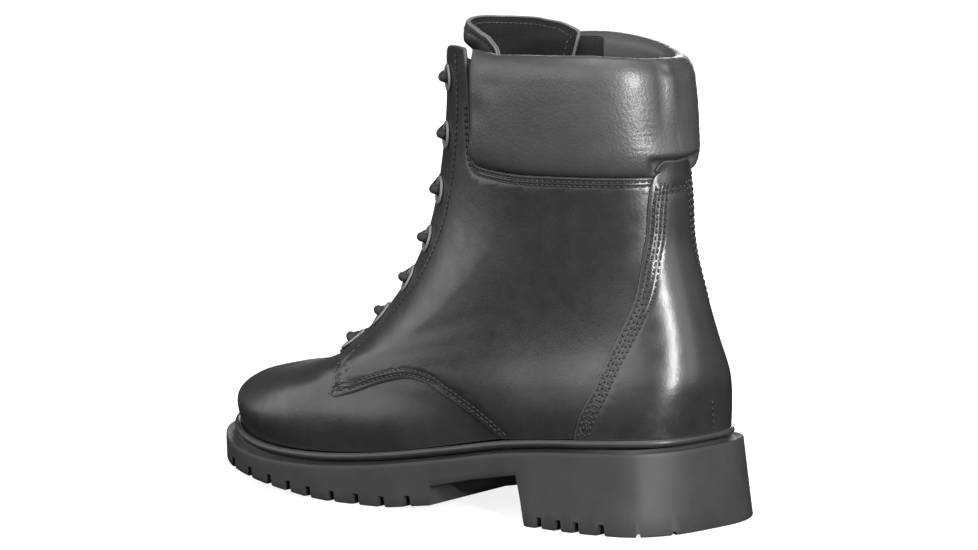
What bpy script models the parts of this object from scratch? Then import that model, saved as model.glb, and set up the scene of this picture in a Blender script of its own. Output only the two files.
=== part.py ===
"""A lace-up leather fire boot for the left foot, standing on its sole.

+X runs from the toe to the heel, +Y from the outer (lateral) to the inner (medial) side, +Z up.
Lengths in the tables below are in millimetres and are scaled by MM when a mesh is made.

The upper is built on one last surface, last_point(u, v). u is the angle round the leg in degrees:
0 at the front, negative on the lateral side, 180 at the back. v runs from 0 at the welt to 1 at the
top edge. Every panel is an outline in (u, v) with a top and an under side, as depths from the last.
"""
import math

import bmesh
import bpy
import numpy as np
from mathutils import Vector
from mathutils.geometry import delaunay_2d_cdt

MM = 0.001
GAP = 0.8             # between neighbouring layers
LEATHER = 1.8
LINING = 1.0
FACING_THICK = 1.2
PUFF_THICK = 1.6      # the stiffener in the toe
COUNTER_THICK = 1.4   # the stiffener round the heel
REAR_THICK = 1.4
VAMP_UNDER = 3.1      # depth of the vamp where the quarters cover it
LINING_LOW = VAMP_UNDER + LEATHER + GAP
TOP_RISE = 200.0      # how high one unit of v reaches above the top edge

# Sections of the last, one column for each level of v.
LEVEL = [0, 0.08, 0.18, 0.30, 0.42, 0.55, 0.70, 0.85, 1.0]
SECTION = {
    "front_x": [-147, -148.5, -138, -109, -75, -44, -20, -7, -3],
    "front_z": [28, 38, 46, 54, 64, 88, 122, 166, 206],
    "back_x": [144.5, 146, 147.5, 144.5, 139.5, 134, 133, 132.5, 132.5],
    "back_z": [42, 53, 66, 83, 101, 121, 144, 173, 204],
    "wide_x": [-60, -60, -52, -30, 0, 35, 62, 74, 76],
    "wide_y": [46, 47.5, 46, 42.5, 39.5, 37.5, 36, 37, 38.5],
    "front_power": [2.3, 2.3, 2.2, 2.1, 1.9, 1.75, 1.75, 1.75, 1.75],
    "back_power": [3.2, 3.0, 2.8, 2.5, 2.35, 2.2, 2.1, 2.1, 2.1],
    "waist": [0.20, 0.17, 0.11, 0.05, 0.01, 0, 0, 0, 0],
    "toe_swing": [9, 9, 9, 7, 3.5, 1, 0, 0, 0],
}
WAIST_X, WAIST_LENGTH = 40.0, 42.0
WAIST_LATERAL, WAIST_MEDIAL = 0.75, 1.15      # share of the waist on each side
FEATHER_FADE_V = 0.42                         # where the bend of the feather edge has died out
ROUNDER_BACK, ROUNDER_POWER = 7.0, 1.95       # the tongue's front: set back by, and rounded to
COLLAR_CROWN, CROWN_X, CROWN_REACH = 4.0, 72.0, 62.0

# The feather edge, where the upper meets the welt: its height along the sole.
FEATHER_X = [-146, -110, -62, -20, 20, 60, 100, 146]
FEATHER_Z = [28, 22.5, 21, 24, 29.5, 36, 40, 42]

# The sole.
SOLE_LATERAL = [(148.6, 0), (146.3, -20), (136.5, -34.2), (118, -40), (85, -42), (45, -42), (10, -45),
                (-30, -50), (-60, -51.6), (-97, -48.5), (-128, -36), (-146.5, -16.5)]
SOLE_MEDIAL = [(-150.6, 4), (-148.8, 22), (-136, 39.5), (-112, 50), (-85, 52), (-60, 51.5), (-25, 48),
               (10, 42), (45, 40.5), (85, 41.5), (118, 40), (136.5, 34.2), (146.3, 20)]
WELT_THICK, WELT_INSET = 3.0, 9.0
WELT_LEDGE = 1.5      # the welt stands back from the edge of the outsole by this much or more
WELT_REACH = 3.8      # and stands out from the feather edge by this much or less
CORK_INSET, INSOLE_INSET = 10.8, 9.4
INSOLE_TOP = 2.0                              # heights above the feather edge
FOOTBED_LOW, FOOTBED_TOP = 2.6, 6.6
SHANK_LOW, SHANK_TOP = -2.8, -1.2
TREAD_X = [-153, -110, -85, -60, -45, -10, 15.5]
TREAD_Z = [10.5, 6.0, 3.4, 0.8, 0, 0, 3.0]
ARCH_X = [16.5, 40, 69.5]
ARCH_Z = [11.5, 16.6, 21.5]
BREAST_FOOT_X = 77.0
ARCH_DROP = 5.5       # the middle of the arch is this much lower than its sides
ARCH_MIDDLE, ARCH_FADE = 22.0, 12.0
STEP_X = 16.0
MEDIAL_LIFT = 3.4     # how far the tread rises towards the medial side of its step
HEEL_FLARE = 3.3
GROOVE_WIDE, GROOVE_DEEP, GROOVE_LONG = 4.4, 4.4, 15.0
GROOVE_X = [-118.7, -100.5, -84, -70.8, -57, -43, -28, -13, 2, 85.8, 97.9, 109, 122.8]
SHANK_X = (-15.0, 95.0)
SHANK_WIDE, SHANK_SLOT = 13.0, 16.0

# Panel outlines on the lateral side, as (u, v).
THROAT_U = 24.0
THROAT_FOOT_V = 0.395
FACING_FOOT_V = 0.409
COLLAR_FRONT_U = [70, 61, 56.5, 54.5, 53.5]
COLLAR_FRONT_V = [0.792, 0.812, 0.865, 0.93, 1.0]
COLLAR_STATIONS = 25
COLLAR_UNDER_U = [69, 84, 114, 150, 180]
COLLAR_UNDER_V = [0.793, 0.783, 0.771, 0.757, 0.750]
QUARTER_FRONT = [(47, 0.388), (70, 0.33), (80, 0.286), (88.5, 0.232), (90.5, 0.186)]
QUARTER_SEAM = [(91.8, 0.207), (94, 0.236), (97, 0.251), (101, 0.23), (104.5, 0.184), (109.5, 0.1),
                (114, 0.0)]
VAMP_REAR = [(122, 0.0), (117, 0.12), (108, 0.225), (97, 0.285), (84, 0.335), (66, 0.372),
             (47, 0.393), (24, 0.400), (0, 0.402)]
REAR_PANEL = [(134, 0.0), (139, 0.141), (143, 0.258), (148, 0.362), (153.5, 0.453), (157.5, 0.553),
              (159, 0.603), (160, 0.706), (161.5, 0.741), (163.5, 0.76), (169, 0.772)]
FACING_REAR = [(50, 0.99), (52, 0.9), (55, 0.8), (57, 0.7), (58, 0.6), (59, 0.5), (60, 0.422)]

# Eyelets and lace.
EYELET_U = 34.0
EYELET_V = [0.432, 0.508, 0.590, 0.677, 0.761, 0.849, 0.947]
HOLE_RADIUS, BARREL_RADIUS, BORE_RADIUS, FLANGE_RADIUS = 4.2, 3.4, 2.9, 6.4
BARREL_LOW, FLANGE_LOW, FLANGE_TOP = -4.3, 0.6, 1.3
FLANGE_CHAMFER = 0.9
LACE_THICK = 4.5
LACE_OUT, LACE_IN = 5.1, -7.7
CROSS_OFF = 2.5
BEND = 4.4
TAIL_U = 45.5         # the lace's two ends run down behind the facings
TAIL_V = [0.94, 0.90, 0.84, 0.78, 0.72, 0.66, 0.60, 0.555]
AGLET_LONG, AGLET_THICK, AGLET_GAP = 18.0, 3.6, 0.3
BAR_RISE = 1.6        # the bottom bar of the lace bulges this far over the tongue
TUCK_RISE = 0.028     # v that the lace climbs from the top eyelets to where it tucks in
TUCK_U, TUCK_V = 33.0, 0.975

# Tongue.
TONGUE_SIDE = [(27, 0.415), (42, 0.45), (50, 0.52), (54, 0.62), (57, 0.78), (60, 0.93), (61, 1.0)]
TONGUE_TOP = [(52, 1.035), (38, 1.055), (20, 1.062), (0, 1.063)]
TONGUE_OUT = -11.2
HINGE_V = 0.409

MATERIALS = {
    "leather": ((0.022, 0.022, 0.023), 0.38, 0.0),
    "soft_leather": ((0.028, 0.028, 0.029), 0.45, 0.0),
    "lining": ((0.012, 0.012, 0.013), 0.90, 0.0),
    "rubber": ((0.030, 0.030, 0.031), 0.62, 0.0),
    "foam": ((0.20, 0.20, 0.19), 0.95, 0.0),
    "board": ((0.32, 0.24, 0.16), 0.85, 0.0),
    "cork": ((0.35, 0.22, 0.12), 0.90, 0.0),
    "steel": ((0.45, 0.45, 0.46), 0.35, 1.0),
    "stiffener": ((0.25, 0.23, 0.20), 0.70, 0.0),
    "eyelet_metal": ((0.33, 0.34, 0.35), 0.32, 1.0),
    "lace": ((0.018, 0.018, 0.019), 0.80, 0.0),
    "aglet": ((0.015, 0.015, 0.016), 0.25, 0.0),
}


# ---------------------------------------------------------------- curves and the last

def through(t, keys, values):
    """A smooth curve through the values at the keys, held flat outside them."""
    keys, values = np.asarray(keys, float), np.asarray(values, float)
    t = np.clip(np.asarray(t, float), keys[0], keys[-1])
    step = np.diff(keys)
    slope = np.diff(values) / step
    bend = np.empty_like(values)
    bend[1:-1] = (slope[:-1] * step[1:] + slope[1:] * step[:-1]) / (step[:-1] + step[1:])
    bend[0] = slope[0] * 1.5 - bend[1] * 0.5
    bend[-1] = slope[-1] * 1.5 - bend[-2] * 0.5
    i = np.clip(np.searchsorted(keys, t, "right") - 1, 0, len(step) - 1)
    x = (t - keys[i]) / step[i]
    start = (2 * x**3 - 3 * x**2 + 1) * values[i] + (x**3 - 2 * x**2 + x) * step[i] * bend[i]
    end = (3 * x**2 - 2 * x**3) * values[i + 1] + (x**3 - x**2) * step[i] * bend[i + 1]
    return start + end


def ease(x):
    x = np.clip(x, 0, 1)
    return x * x * (3 - 2 * x)


def feather_z(x):
    return through(x, FEATHER_X, FEATHER_Z)


def last_point(u, v, rounder=0.0):
    """A point of the last in millimetres. rounder pulls the front in and rounds it, for the tongue."""
    u = (np.asarray(u, float) + 180) % 360 - 180
    v = np.asarray(v, float) + 0 * u
    at = {name: through(v, LEVEL, values) for name, values in SECTION.items()}
    angle = np.radians(np.abs(u))
    c, s = np.cos(angle), np.sin(angle)
    front = c > 0
    front_x = at["front_x"] + ROUNDER_BACK * rounder
    front_power = at["front_power"] * (1 - rounder) + ROUNDER_POWER * rounder
    power = 2 / np.where(front, front_power, at["back_power"])
    reach = np.where(front, front_x - at["wide_x"], at["back_x"] - at["wide_x"])
    x = at["wide_x"] + reach * np.abs(c) ** power
    y = np.sign(u) * at["wide_y"] * s**power
    pinch = at["waist"] * np.where(u < 0, WAIST_LATERAL, WAIST_MEDIAL)
    y = y * (1 - pinch * np.exp(-(((x - WAIST_X) / WAIST_LENGTH) ** 2)))
    ahead = np.clip((at["wide_x"] - x) / (at["wide_x"] - at["front_x"]), 0, 1)
    y = y + at["toe_swing"] * ahead**2
    along = (x - at["front_x"]) / (at["back_x"] - at["front_x"])
    z = at["front_z"] + (at["back_z"] - at["front_z"]) * along
    toe_x, heel_x = SECTION["front_x"][0], SECTION["back_x"][0]
    ramp = FEATHER_Z[0] + (FEATHER_Z[-1] - FEATHER_Z[0]) * (x - toe_x) / (heel_x - toe_x)
    z = z + (1 - ease(v / FEATHER_FADE_V)) * (feather_z(x) - ramp)
    crown = np.clip(1 - ((x - CROWN_X) / CROWN_REACH) ** 2, 0, 1)
    z = z + COLLAR_CROWN * ease((v - 0.8) / 0.2) * crown + TOP_RISE * np.clip(v - 1, 0, 1)
    return np.stack([x, y, z], -1)


def last_normal(u, v, rounder=0.0):
    """The outward normal, from small steps along u and v."""
    v = np.minimum(np.asarray(v, float), 0.99)
    across = last_point(u + 0.6, v, rounder) - last_point(u - 0.6, v, rounder)
    up = last_point(u, v + 0.005, rounder) - last_point(u, np.maximum(v - 0.005, 0), rounder)
    n = np.cross(up, across)
    return n / np.linalg.norm(n, axis=-1, keepdims=True)


def on_last(u, v, depth, rounder=0.0):
    """The point at a depth from the last: positive outside it, negative inside."""
    u, v = np.asarray(u, float), np.asarray(v, float)
    depth = np.asarray(depth, float)
    return last_point(u, v, rounder) + last_normal(u, v, rounder) * depth[..., None]


# ---------------------------------------------------------------- mesh building

def material(name):
    made = bpy.data.materials.get(name)
    if made is None:
        colour, rough, metal = MATERIALS[name]
        made = bpy.data.materials.new(name)
        made.use_nodes = True
        shader = made.node_tree.nodes["Principled BSDF"]
        shader.inputs["Base Color"].default_value = (*colour, 1)
        shader.inputs["Roughness"].default_value = rough
        shader.inputs["Metallic"].default_value = metal
    return made


def add_mesh(name, points, faces, finish, sharp=40):
    """A closed mesh from points in millimetres, with its faces turned outward."""
    bm = bmesh.new()
    verts = [bm.verts.new(Vector(p) * MM) for p in points]
    for face in faces:
        bm.faces.new([verts[i] for i in face])
    bmesh.ops.recalc_face_normals(bm, faces=bm.faces[:])
    mesh = bpy.data.meshes.new(name)
    bm.to_mesh(mesh)
    bm.free()
    mesh.materials.append(material(finish))
    mesh.shade_smooth()
    mesh.set_sharp_from_angle(angle=math.radians(sharp))
    made = bpy.data.objects.new(name, mesh)
    bpy.context.scene.collection.objects.link(made)
    return made


def inside(points, loop):
    """Which 2D points lie inside a closed loop."""
    x, y = points[:, 0], points[:, 1]
    odd = np.zeros(len(points), bool)
    for (ax, ay), (bx, by) in zip(loop, np.roll(loop, -1, axis=0)):
        if ay != by:
            odd ^= ((ay > y) != (by > y)) & (x < (bx - ax) * (y - ay) / (by - ay) + ax)
    return odd


def edge_distance(points, loop):
    a, b = loop, np.roll(loop, -1, axis=0)
    d = b - a
    t = ((points[:, None] - a) * d).sum(-1) / np.maximum((d * d).sum(-1), 1e-12)
    near = a + np.clip(t, 0, 1)[..., None] * d
    return np.linalg.norm(points[:, None] - near, axis=-1).min(1)


def sheet(name, loop, lattice, upper, lower, finish, scale=(1, 1), margin=2.5, holes=()):
    """A closed sheet: a 2D loop with holes, filled, and given an upper and a lower face."""
    loops = [np.asarray(one, float) for one in (loop, *holes)]
    scale = np.asarray(scale, float)
    flat = [one * scale for one in loops]
    inner = np.asarray(lattice, float).reshape(-1, 2)
    keep = inside(inner * scale, flat[0])
    for one in flat[1:]:
        keep &= ~inside(inner * scale, one)
    for one in flat:
        keep &= edge_distance(inner * scale, one) > margin
    points = np.concatenate([*loops, inner[keep]])
    edges, start = [], 0
    for one in loops:
        edges += [(start + i, start + (i + 1) % len(one)) for i in range(len(one))]
        start += len(one)
    cdt = delaunay_2d_cdt([Vector(p) for p in points * scale], edges, [], 0, 1e-6)
    back = [origin[0] for origin in cdt[3]]
    triangles = np.array([[back[i] for i in t] for t in cdt[2]])
    middle = (points[triangles] * scale).mean(1)
    good = inside(middle, flat[0])
    for one in flat[1:]:
        good &= ~inside(middle, one)
    triangles = triangles[good]
    count = len(points)
    solid = np.concatenate([upper(points[:, 0], points[:, 1]), lower(points[:, 0], points[:, 1])])
    faces = [tuple(t) for t in triangles] + [tuple(t[::-1] + count) for t in triangles]
    sides = {(t[i], t[(i + 1) % 3]) for t in triangles for i in range(3)}
    faces += [(b, a, a + count, b + count) for a, b in sides if (b, a) not in sides]
    return add_mesh(name, solid, faces, finish)


def smooth_line(points, step, scale=1.0):
    """Points about a step apart on a smooth curve through the given ones."""
    points = np.asarray(points, float)
    gaps = np.linalg.norm(np.diff(points * np.asarray(scale, float), axis=0), axis=1)
    along = np.concatenate([[0], np.cumsum(gaps)])
    t = np.linspace(0, along[-1], max(2, round(along[-1] / step) + 1))
    return np.stack([through(t, along, points[:, k]) for k in range(points.shape[1])], -1)


def corner_line(*stretches):
    """Stretches joined end to end into one closed loop, each shared corner once."""
    return np.concatenate([np.asarray(stretch, float)[:-1] for stretch in stretches])


def mirrored(points, side):
    """Lateral (u, v) points, turned to the side asked for: -1 lateral, +1 medial."""
    return np.asarray(points, float) * [side, 1]


UV_SCALE = (1.25, 195.0)
LATTICE_V = [0.05, 0.11, 0.18, 0.25, 0.32, 0.39, 0.46, 0.54, 0.62, 0.70, 0.78, 0.86, 0.94, 1.01]
LATTICE_U = 11.25
LAST_LATTICE = [(LATTICE_U * (i + 0.5 * (j % 2)), v)
                for j, v in enumerate(LATTICE_V) for i in range(-32, 33)]


def panel(name, loop, out, under, finish, holes=(), rounder=0.0):
    """A panel of the upper. out and under are depths, or functions of (u, v) that give them."""
    def layer(depth):
        def place(u, v):
            deep = depth(u, v) if callable(depth) else np.full(len(u), float(depth))
            return on_last(u, v, deep, rounder)
        return place
    return sheet(name, loop, LAST_LATTICE, layer(out), layer(under), finish, UV_SCALE, 3.0, holes)


def band(name, rings, finish):
    """A closed profile swept round the leg; rings holds (u, v, depth) points for each station."""
    rings = np.asarray(rings, float)
    count = rings.shape[1]
    points = on_last(rings[..., 0], rings[..., 1], rings[..., 2]).reshape(-1, 3)
    faces = [tuple(range(count)), tuple(range((len(rings) - 1) * count, len(rings) * count))[::-1]]
    for k in range(len(rings) - 1):
        for i in range(count):
            a, b = k * count + i, k * count + (i + 1) % count
            faces.append((a, b, b + count, a + count))
    return add_mesh(name, points, faces, finish)


def tube(name, points, thick, finish, resolution=2):
    """A round cord along points in millimetres, as a curve with a bevel and filled caps."""
    curve = bpy.data.curves.new(name, "CURVE")
    curve.dimensions = "3D"
    curve.bevel_depth = thick / 2 * MM
    curve.bevel_resolution = resolution
    curve.use_fill_caps = True
    curve.render_resolution_u = 0
    spline = curve.splines.new("POLY")
    spline.points.add(len(points) - 1)
    for point, place in zip(spline.points, points):
        point.co = (*(np.asarray(place) * MM), 1)
    curve.materials.append(material(finish))
    made = bpy.data.objects.new(name, curve)
    bpy.context.scene.collection.objects.link(made)
    return made


# ---------------------------------------------------------------- sole

def sole_loop(step=13.0):
    around = SOLE_LATERAL + SOLE_MEDIAL
    closed = smooth_line([*around, around[0]], step)
    return closed[:-1]


def feather_loop(inset, step=15.0):
    """The feather edge seen from above, moved inward."""
    u = np.arange(0, 360, 6.0)
    ring = on_last(u, np.zeros(len(u)), np.full(len(u), -float(inset)))[:, :2]
    closed = smooth_line(np.concatenate([ring, ring[:1]]), step)
    return closed[:-1]


def welt_loop():
    """The welt's edge: round the feather edge, but not past the outsole."""
    ring, edge = feather_loop(-WELT_REACH), sole_loop(2.0)
    across = ring[:, None] - edge
    nearest = np.linalg.norm(across, axis=-1).argmin(1)
    along = np.roll(edge, -1, axis=0) - np.roll(edge, 1, axis=0)
    inward = np.stack([along[:, 1], -along[:, 0]], -1) / np.linalg.norm(along, axis=1)[:, None]
    depth = ((ring - edge[nearest]) * inward[nearest]).sum(1)
    return ring + inward[nearest] * np.maximum(WELT_LEDGE - depth, 0)[:, None]


def at_height(height):
    """A face of a sole plate that follows the feather edge at a height above it."""
    return lambda x, y: np.stack([x, y, feather_z(x) + height], -1)


def tread(x, y):
    """The underside of the outsole: toe spring, forefoot, arch, heel breast and flared heel."""
    arch = np.interp(x, ARCH_X, ARCH_Z) - ARCH_DROP * (1 - ease((np.abs(y) - ARCH_MIDDLE) / ARCH_FADE))
    lift = MEDIAL_LIFT * np.clip((y + 45) / 70, 0, 1) * ease((x + 22) / 36)
    z = np.where(x < STEP_X, np.interp(x, TREAD_X, TREAD_Z) + lift, arch)
    z = np.where(x > (ARCH_X[-1] + BREAST_FOOT_X) / 2, 0.0, z)
    flare = HEEL_FLARE * ease((x - ARCH_X[-1]) / 10)
    return np.stack([x, y + np.sign(y) * flare * np.minimum(np.abs(y) / 20, 1), z], -1)


def make_sole():
    columns = [-140, -125, -110, -95, -80, -62, -45, -28, -10, 15.5, 16.5, 28, 40, 54, 69.5, 77, 88,
               102, 116, 130, 142]
    lattice = [(x, y) for x in columns for y in (-36, -20, 0, 20, 36)]
    outsole = sheet("outsole", sole_loop(), lattice, at_height(-WELT_THICK - 2 * GAP), tread,
                    "rubber", margin=1.5)
    cut_grooves(outsole)
    plain = [(x, y) for x in range(-130, 150, 20) for y in (-24, 0, 24)]
    sheet("welt", welt_loop(), [], at_height(-GAP), at_height(-GAP - WELT_THICK), "rubber",
          holes=[feather_loop(WELT_INSET)])
    slot = rectangle(SHANK_X[0] - 2, SHANK_X[1] + 2, SHANK_SLOT)
    sheet("cork_filler", feather_loop(CORK_INSET), plain, at_height(-GAP), at_height(-GAP - WELT_THICK),
          "cork", holes=[slot])
    sheet("shank", rectangle(*SHANK_X, SHANK_WIDE), [], at_height(SHANK_TOP), at_height(SHANK_LOW),
          "steel")
    sheet("insole_board", feather_loop(INSOLE_INSET), plain, at_height(INSOLE_TOP), at_height(0),
          "board")
    sheet("footbed", feather_loop(INSOLE_INSET), plain, at_height(FOOTBED_TOP),
          at_height(FOOTBED_LOW), "foam")


def rectangle(low, high, wide, step=14.0):
    """A long rectangle along X, with points along its sides so that it can bend with the sole."""
    x = np.linspace(low, high, max(2, round((high - low) / step)))
    return np.concatenate([np.stack([x, np.full(len(x), -wide / 2)], -1),
                           np.stack([x[::-1], np.full(len(x), wide / 2)], -1)])


def cut_grooves(outsole):
    """Grooves between the lugs, open at the side of the sole."""
    bm = bmesh.new()
    edge = sole_loop(4.0)
    for x in GROOVE_X:
        for side in (-1, 1):
            half = edge[(edge[:, 1] > 4) if side > 0 else (edge[:, 1] < 4)]
            edge_y = half[np.abs(half[:, 0] - x).argmin(), 1] + side * HEEL_FLARE
            low = float(tread(np.array([x]), np.array([0.0]))[0, 2]) - 2
            made = bmesh.ops.create_cube(bm, size=1)["verts"]
            tall = GROOVE_DEEP + 2
            bmesh.ops.scale(bm, verts=made, vec=(GROOVE_WIDE * MM, GROOVE_LONG * 2 * MM, tall * MM))
            bmesh.ops.translate(bm, verts=made, vec=Vector((x, edge_y, low + tall / 2)) * MM)
    mesh = bpy.data.meshes.new("groove_cutter")
    bm.to_mesh(mesh)
    bm.free()
    cutter = bpy.data.objects.new("groove_cutter", mesh)
    bpy.context.scene.collection.objects.link(cutter)
    cutter.hide_render = True
    cutter.display_type = "WIRE"
    cut = outsole.modifiers.new("grooves", "BOOLEAN")
    cut.operation = "DIFFERENCE"
    cut.object = cutter


# ---------------------------------------------------------------- upper

def hole_loops(side):
    """The eyelet holes of one side, as small octagons in (u, v)."""
    loops = []
    for v in EYELET_V:
        u = side * EYELET_U
        across = (last_point(u + 0.5, v) - last_point(u - 0.5, v)).ravel()
        up = (last_point(u, v + 0.005) - last_point(u, v - 0.005)).ravel() / 0.01
        basis = np.stack([across, up], -1)
        e1 = across / np.linalg.norm(across)
        e2 = up - e1 * (up @ e1)
        e2 /= np.linalg.norm(e2)
        ring = []
        for angle in np.arange(8) * math.tau / 8:
            move = HOLE_RADIUS * (math.cos(angle) * e1 + math.sin(angle) * e2)
            du, dv = np.linalg.lstsq(basis, move, rcond=None)[0]
            ring.append((u + du, v + dv))
        loops.append(np.array(ring))
    return loops


def collar_foot(u):
    """v of the collar's lower edge, for any u from the front edge round the back."""
    away = np.abs((np.asarray(u, float) + 180) % 360 - 180)
    return through(away, COLLAR_UNDER_U, COLLAR_UNDER_V)


def lining_depth(u, v):
    """The lining steps inward low down, where the vamp and the stiffeners lie behind it."""
    high = LEATHER + GAP
    return -high - (LINING_LOW - high) * (1 - ease((v - 0.44) / 0.10))


def vamp_depth(u, v):
    """The vamp comes up to the last surface at the toe and slips under the quarters."""
    distance = np.min([np.hypot((np.abs(u) - a) * UV_SCALE[0], (v - b) * UV_SCALE[1])
                       for a, b in smooth_line(VAMP_REAR, 4.0, UV_SCALE)], axis=0)
    return -VAMP_UNDER * (1 - ease((distance - 14) / 20))


def make_quarter(name, side):
    throat = [(THROAT_U, 0.985), (THROAT_U, 0.8), (THROAT_U, 0.6), (THROAT_U, THROAT_FOOT_V)]
    front = [(THROAT_U, THROAT_FOOT_V), *QUARTER_FRONT]
    seam = [QUARTER_FRONT[-1], *QUARTER_SEAM]
    feather = [(u, 0.0) for u in np.linspace(QUARTER_SEAM[-1][0], 144, 5)]
    rear = [(u + 8, v) for u, v in REAR_PANEL[:-2]]
    rear[0] = feather[-1]
    under = [(u, collar_foot(u) - 0.006) for u in np.linspace(rear[-1][0], COLLAR_FRONT_U[0], 10)]
    rear[-1] = under[0]
    gap_front = [(u - 1.5, v) for u, v in zip(COLLAR_FRONT_U[1:], COLLAR_FRONT_V[1:])]
    top = [gap_front[-1], (40, 1.003), (30, 1.0), (THROAT_U, 0.985)]
    loop = corner_line(smooth_line(throat, 9, UV_SCALE), smooth_line(front, 9, UV_SCALE),
                       smooth_line(seam, 9, UV_SCALE), feather, smooth_line(rear, 10, UV_SCALE),
                       under, smooth_line([under[-1], *gap_front], 8, UV_SCALE), top)
    panel(name, mirrored(loop, side), 0, -LEATHER, "leather", hole_loops(side))


def make_facing(name, side):
    """The strip behind the quarter's front edge that holds the eyelets."""
    front = [(THROAT_U + 0.8, 0.98), (THROAT_U + 0.8, 0.7), (THROAT_U + 0.8, FACING_FOOT_V)]
    rear = smooth_line(FACING_REAR, 10, UV_SCALE)[::-1]
    loop = corner_line(smooth_line(front, 10, UV_SCALE), [front[-1], (42, FACING_FOOT_V), rear[0]], rear,
                       [rear[-1], (38, 0.995), front[0]])
    deep = -LEATHER - GAP
    panel(name, mirrored(loop, side), deep, deep - FACING_THICK, "soft_leather",
          hole_loops(side))


def make_quarter_lining(name, side):
    front = smooth_line([(u + 1.5, v) for u, v in FACING_REAR if v < 0.72], 12, UV_SCALE)
    foot = [(front[-1][0], front[-1][1]), (84, 0.37), (100, 0.33), (110, 0.22), (118, 0.1),
            (121, 0.0)]
    base = [(u, 0.0) for u in np.linspace(121, 178, 7)]
    back = [(178, v) for v in np.linspace(0, 0.73, 9)]
    top = [(u, collar_foot(u) - 0.02) for u in np.linspace(178, 66, 11)]
    loop = corner_line(front, smooth_line(foot, 12, UV_SCALE), base, back, top,
                       [top[-1], front[0]])
    panel(name, mirrored(loop, side), lining_depth, lambda u, v: lining_depth(u, v) - LINING, "lining")


def make_vamp():
    rear = smooth_line(VAMP_REAR, 9, UV_SCALE)
    far = mirrored(rear[::-1], -1)
    feather = [(u, 0.0) for u in np.linspace(-122, 122, 33)]
    loop = corner_line(rear, far, feather)
    panel("vamp", loop, vamp_depth, lambda u, v: vamp_depth(u, v) - LEATHER, "leather")
    inner = smooth_line([(119, 0.0), (116, 0.1), (107.5, 0.205), (97, 0.262), (84, 0.315),
                         (66, 0.352), (47, 0.372), (24, 0.382), (0, 0.384)], 12, UV_SCALE)
    loop = corner_line(inner, mirrored(inner[::-1], -1), [(u, 0.0) for u in np.linspace(-119, 119, 27)])
    panel("vamp_lining", loop, -LINING_LOW, -LINING_LOW - LINING, "lining")
    edge = smooth_line([(70, 0.0), (66, 0.09), (54, 0.17), (34, 0.215), (0, 0.23)], 9, UV_SCALE)
    loop = corner_line(edge, mirrored(edge[::-1], -1), [(u, 0.0) for u in np.linspace(-70, 70, 19)])
    panel("toe_puff", loop, -LEATHER - GAP, -LEATHER - GAP - PUFF_THICK, "stiffener")


def make_rear():
    side = smooth_line(REAR_PANEL, 10, UV_SCALE)
    far = [(360 - u, v) for u, v in side[::-1]]
    top = [(u, 0.773) for u in (169, 175, 180, 185, 191)]
    base = [(u, 0.0) for u in np.linspace(226, 134, 13)]
    panel("rear_panel", corner_line(side, top, far, base), GAP + REAR_THICK, GAP, "leather")
    edge = smooth_line([(128, 0.02), (133, 0.14), (144, 0.24), (160, 0.30), (180, 0.31)], 11, UV_SCALE)
    far = [(360 - u, v) for u, v in edge[::-1]]
    base = [(u, 0.02) for u in np.linspace(232, 128, 13)]
    deep = -LEATHER - GAP
    panel("heel_counter", corner_line(edge, far, base), deep, deep - COUNTER_THICK, "stiffener")


def make_collar():
    """The padded collar: a cover that rolls over the top edge, foam inside it, and a lining."""
    def rings(profile, inset=0.0):
        for share in np.linspace(inset, 1 - inset, COLLAR_STATIONS):
            turn = COLLAR_UNDER_U[0] + (360 - 2 * COLLAR_UNDER_U[0]) * share
            foot = float(collar_foot(turn)) + 0.006
            full = ease(min(share, 1 - share) / 0.05)
            ring = []
            for t, depth in profile:
                v = foot + (0.985 - foot) * t
                front = float(through(v, COLLAR_FRONT_V, COLLAR_FRONT_U)) + 1.5
                ring.append((front + (360 - 2 * front) * share, v, depth * (0.6 + 0.4 * full)))
            yield ring

    cover = [(0, -1.4), (0.1, -0.5), (0.24, 1.9), (0.6, 2.2), (0.88, 1.5), (1.0, -0.4), (1.05, -3.2),
             (1.05, -6.4), (1.0, -9.2), (0.9, -10.2), (0.88, -8.8), (0.965, -7.9), (0.99, -5.9),
             (0.99, -3.7), (0.95, -1.2), (0.86, 0.1), (0.6, 0.8), (0.28, 0.5), (0.13, -1.9),
             (0, -2.8)]
    foam = [(0.03, -4.0), (0.28, -0.6), (0.6, -0.1), (0.84, -0.8), (0.91, -2.0), (0.93, -4.0),
            (0.92, -5.6), (0.88, -6.8), (0.80, -7.4), (0.03, -7.4)]
    lining = [(0, -8.8), (0.83, -8.8), (0.83, -10.2), (0, -10.2)]
    band("collar", list(rings(cover)), "soft_leather")
    band("collar_foam", list(rings(foam, 0.02)), "foam")
    band("collar_lining", list(rings(lining)), "lining")


def tongue_depth(u, v):
    """The tongue lies under the lace, clears the collar with its wings, and flares out at its top."""
    wing = -1.6 * ease((np.abs(u) - 44) / 7) * ease((v - 0.70) / 0.08)
    flare = 3.0 * ease((v - 0.99) / 0.06) * (1 - ease((np.abs(u) - 30) / 20))
    return TONGUE_OUT + wing + flare


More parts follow.
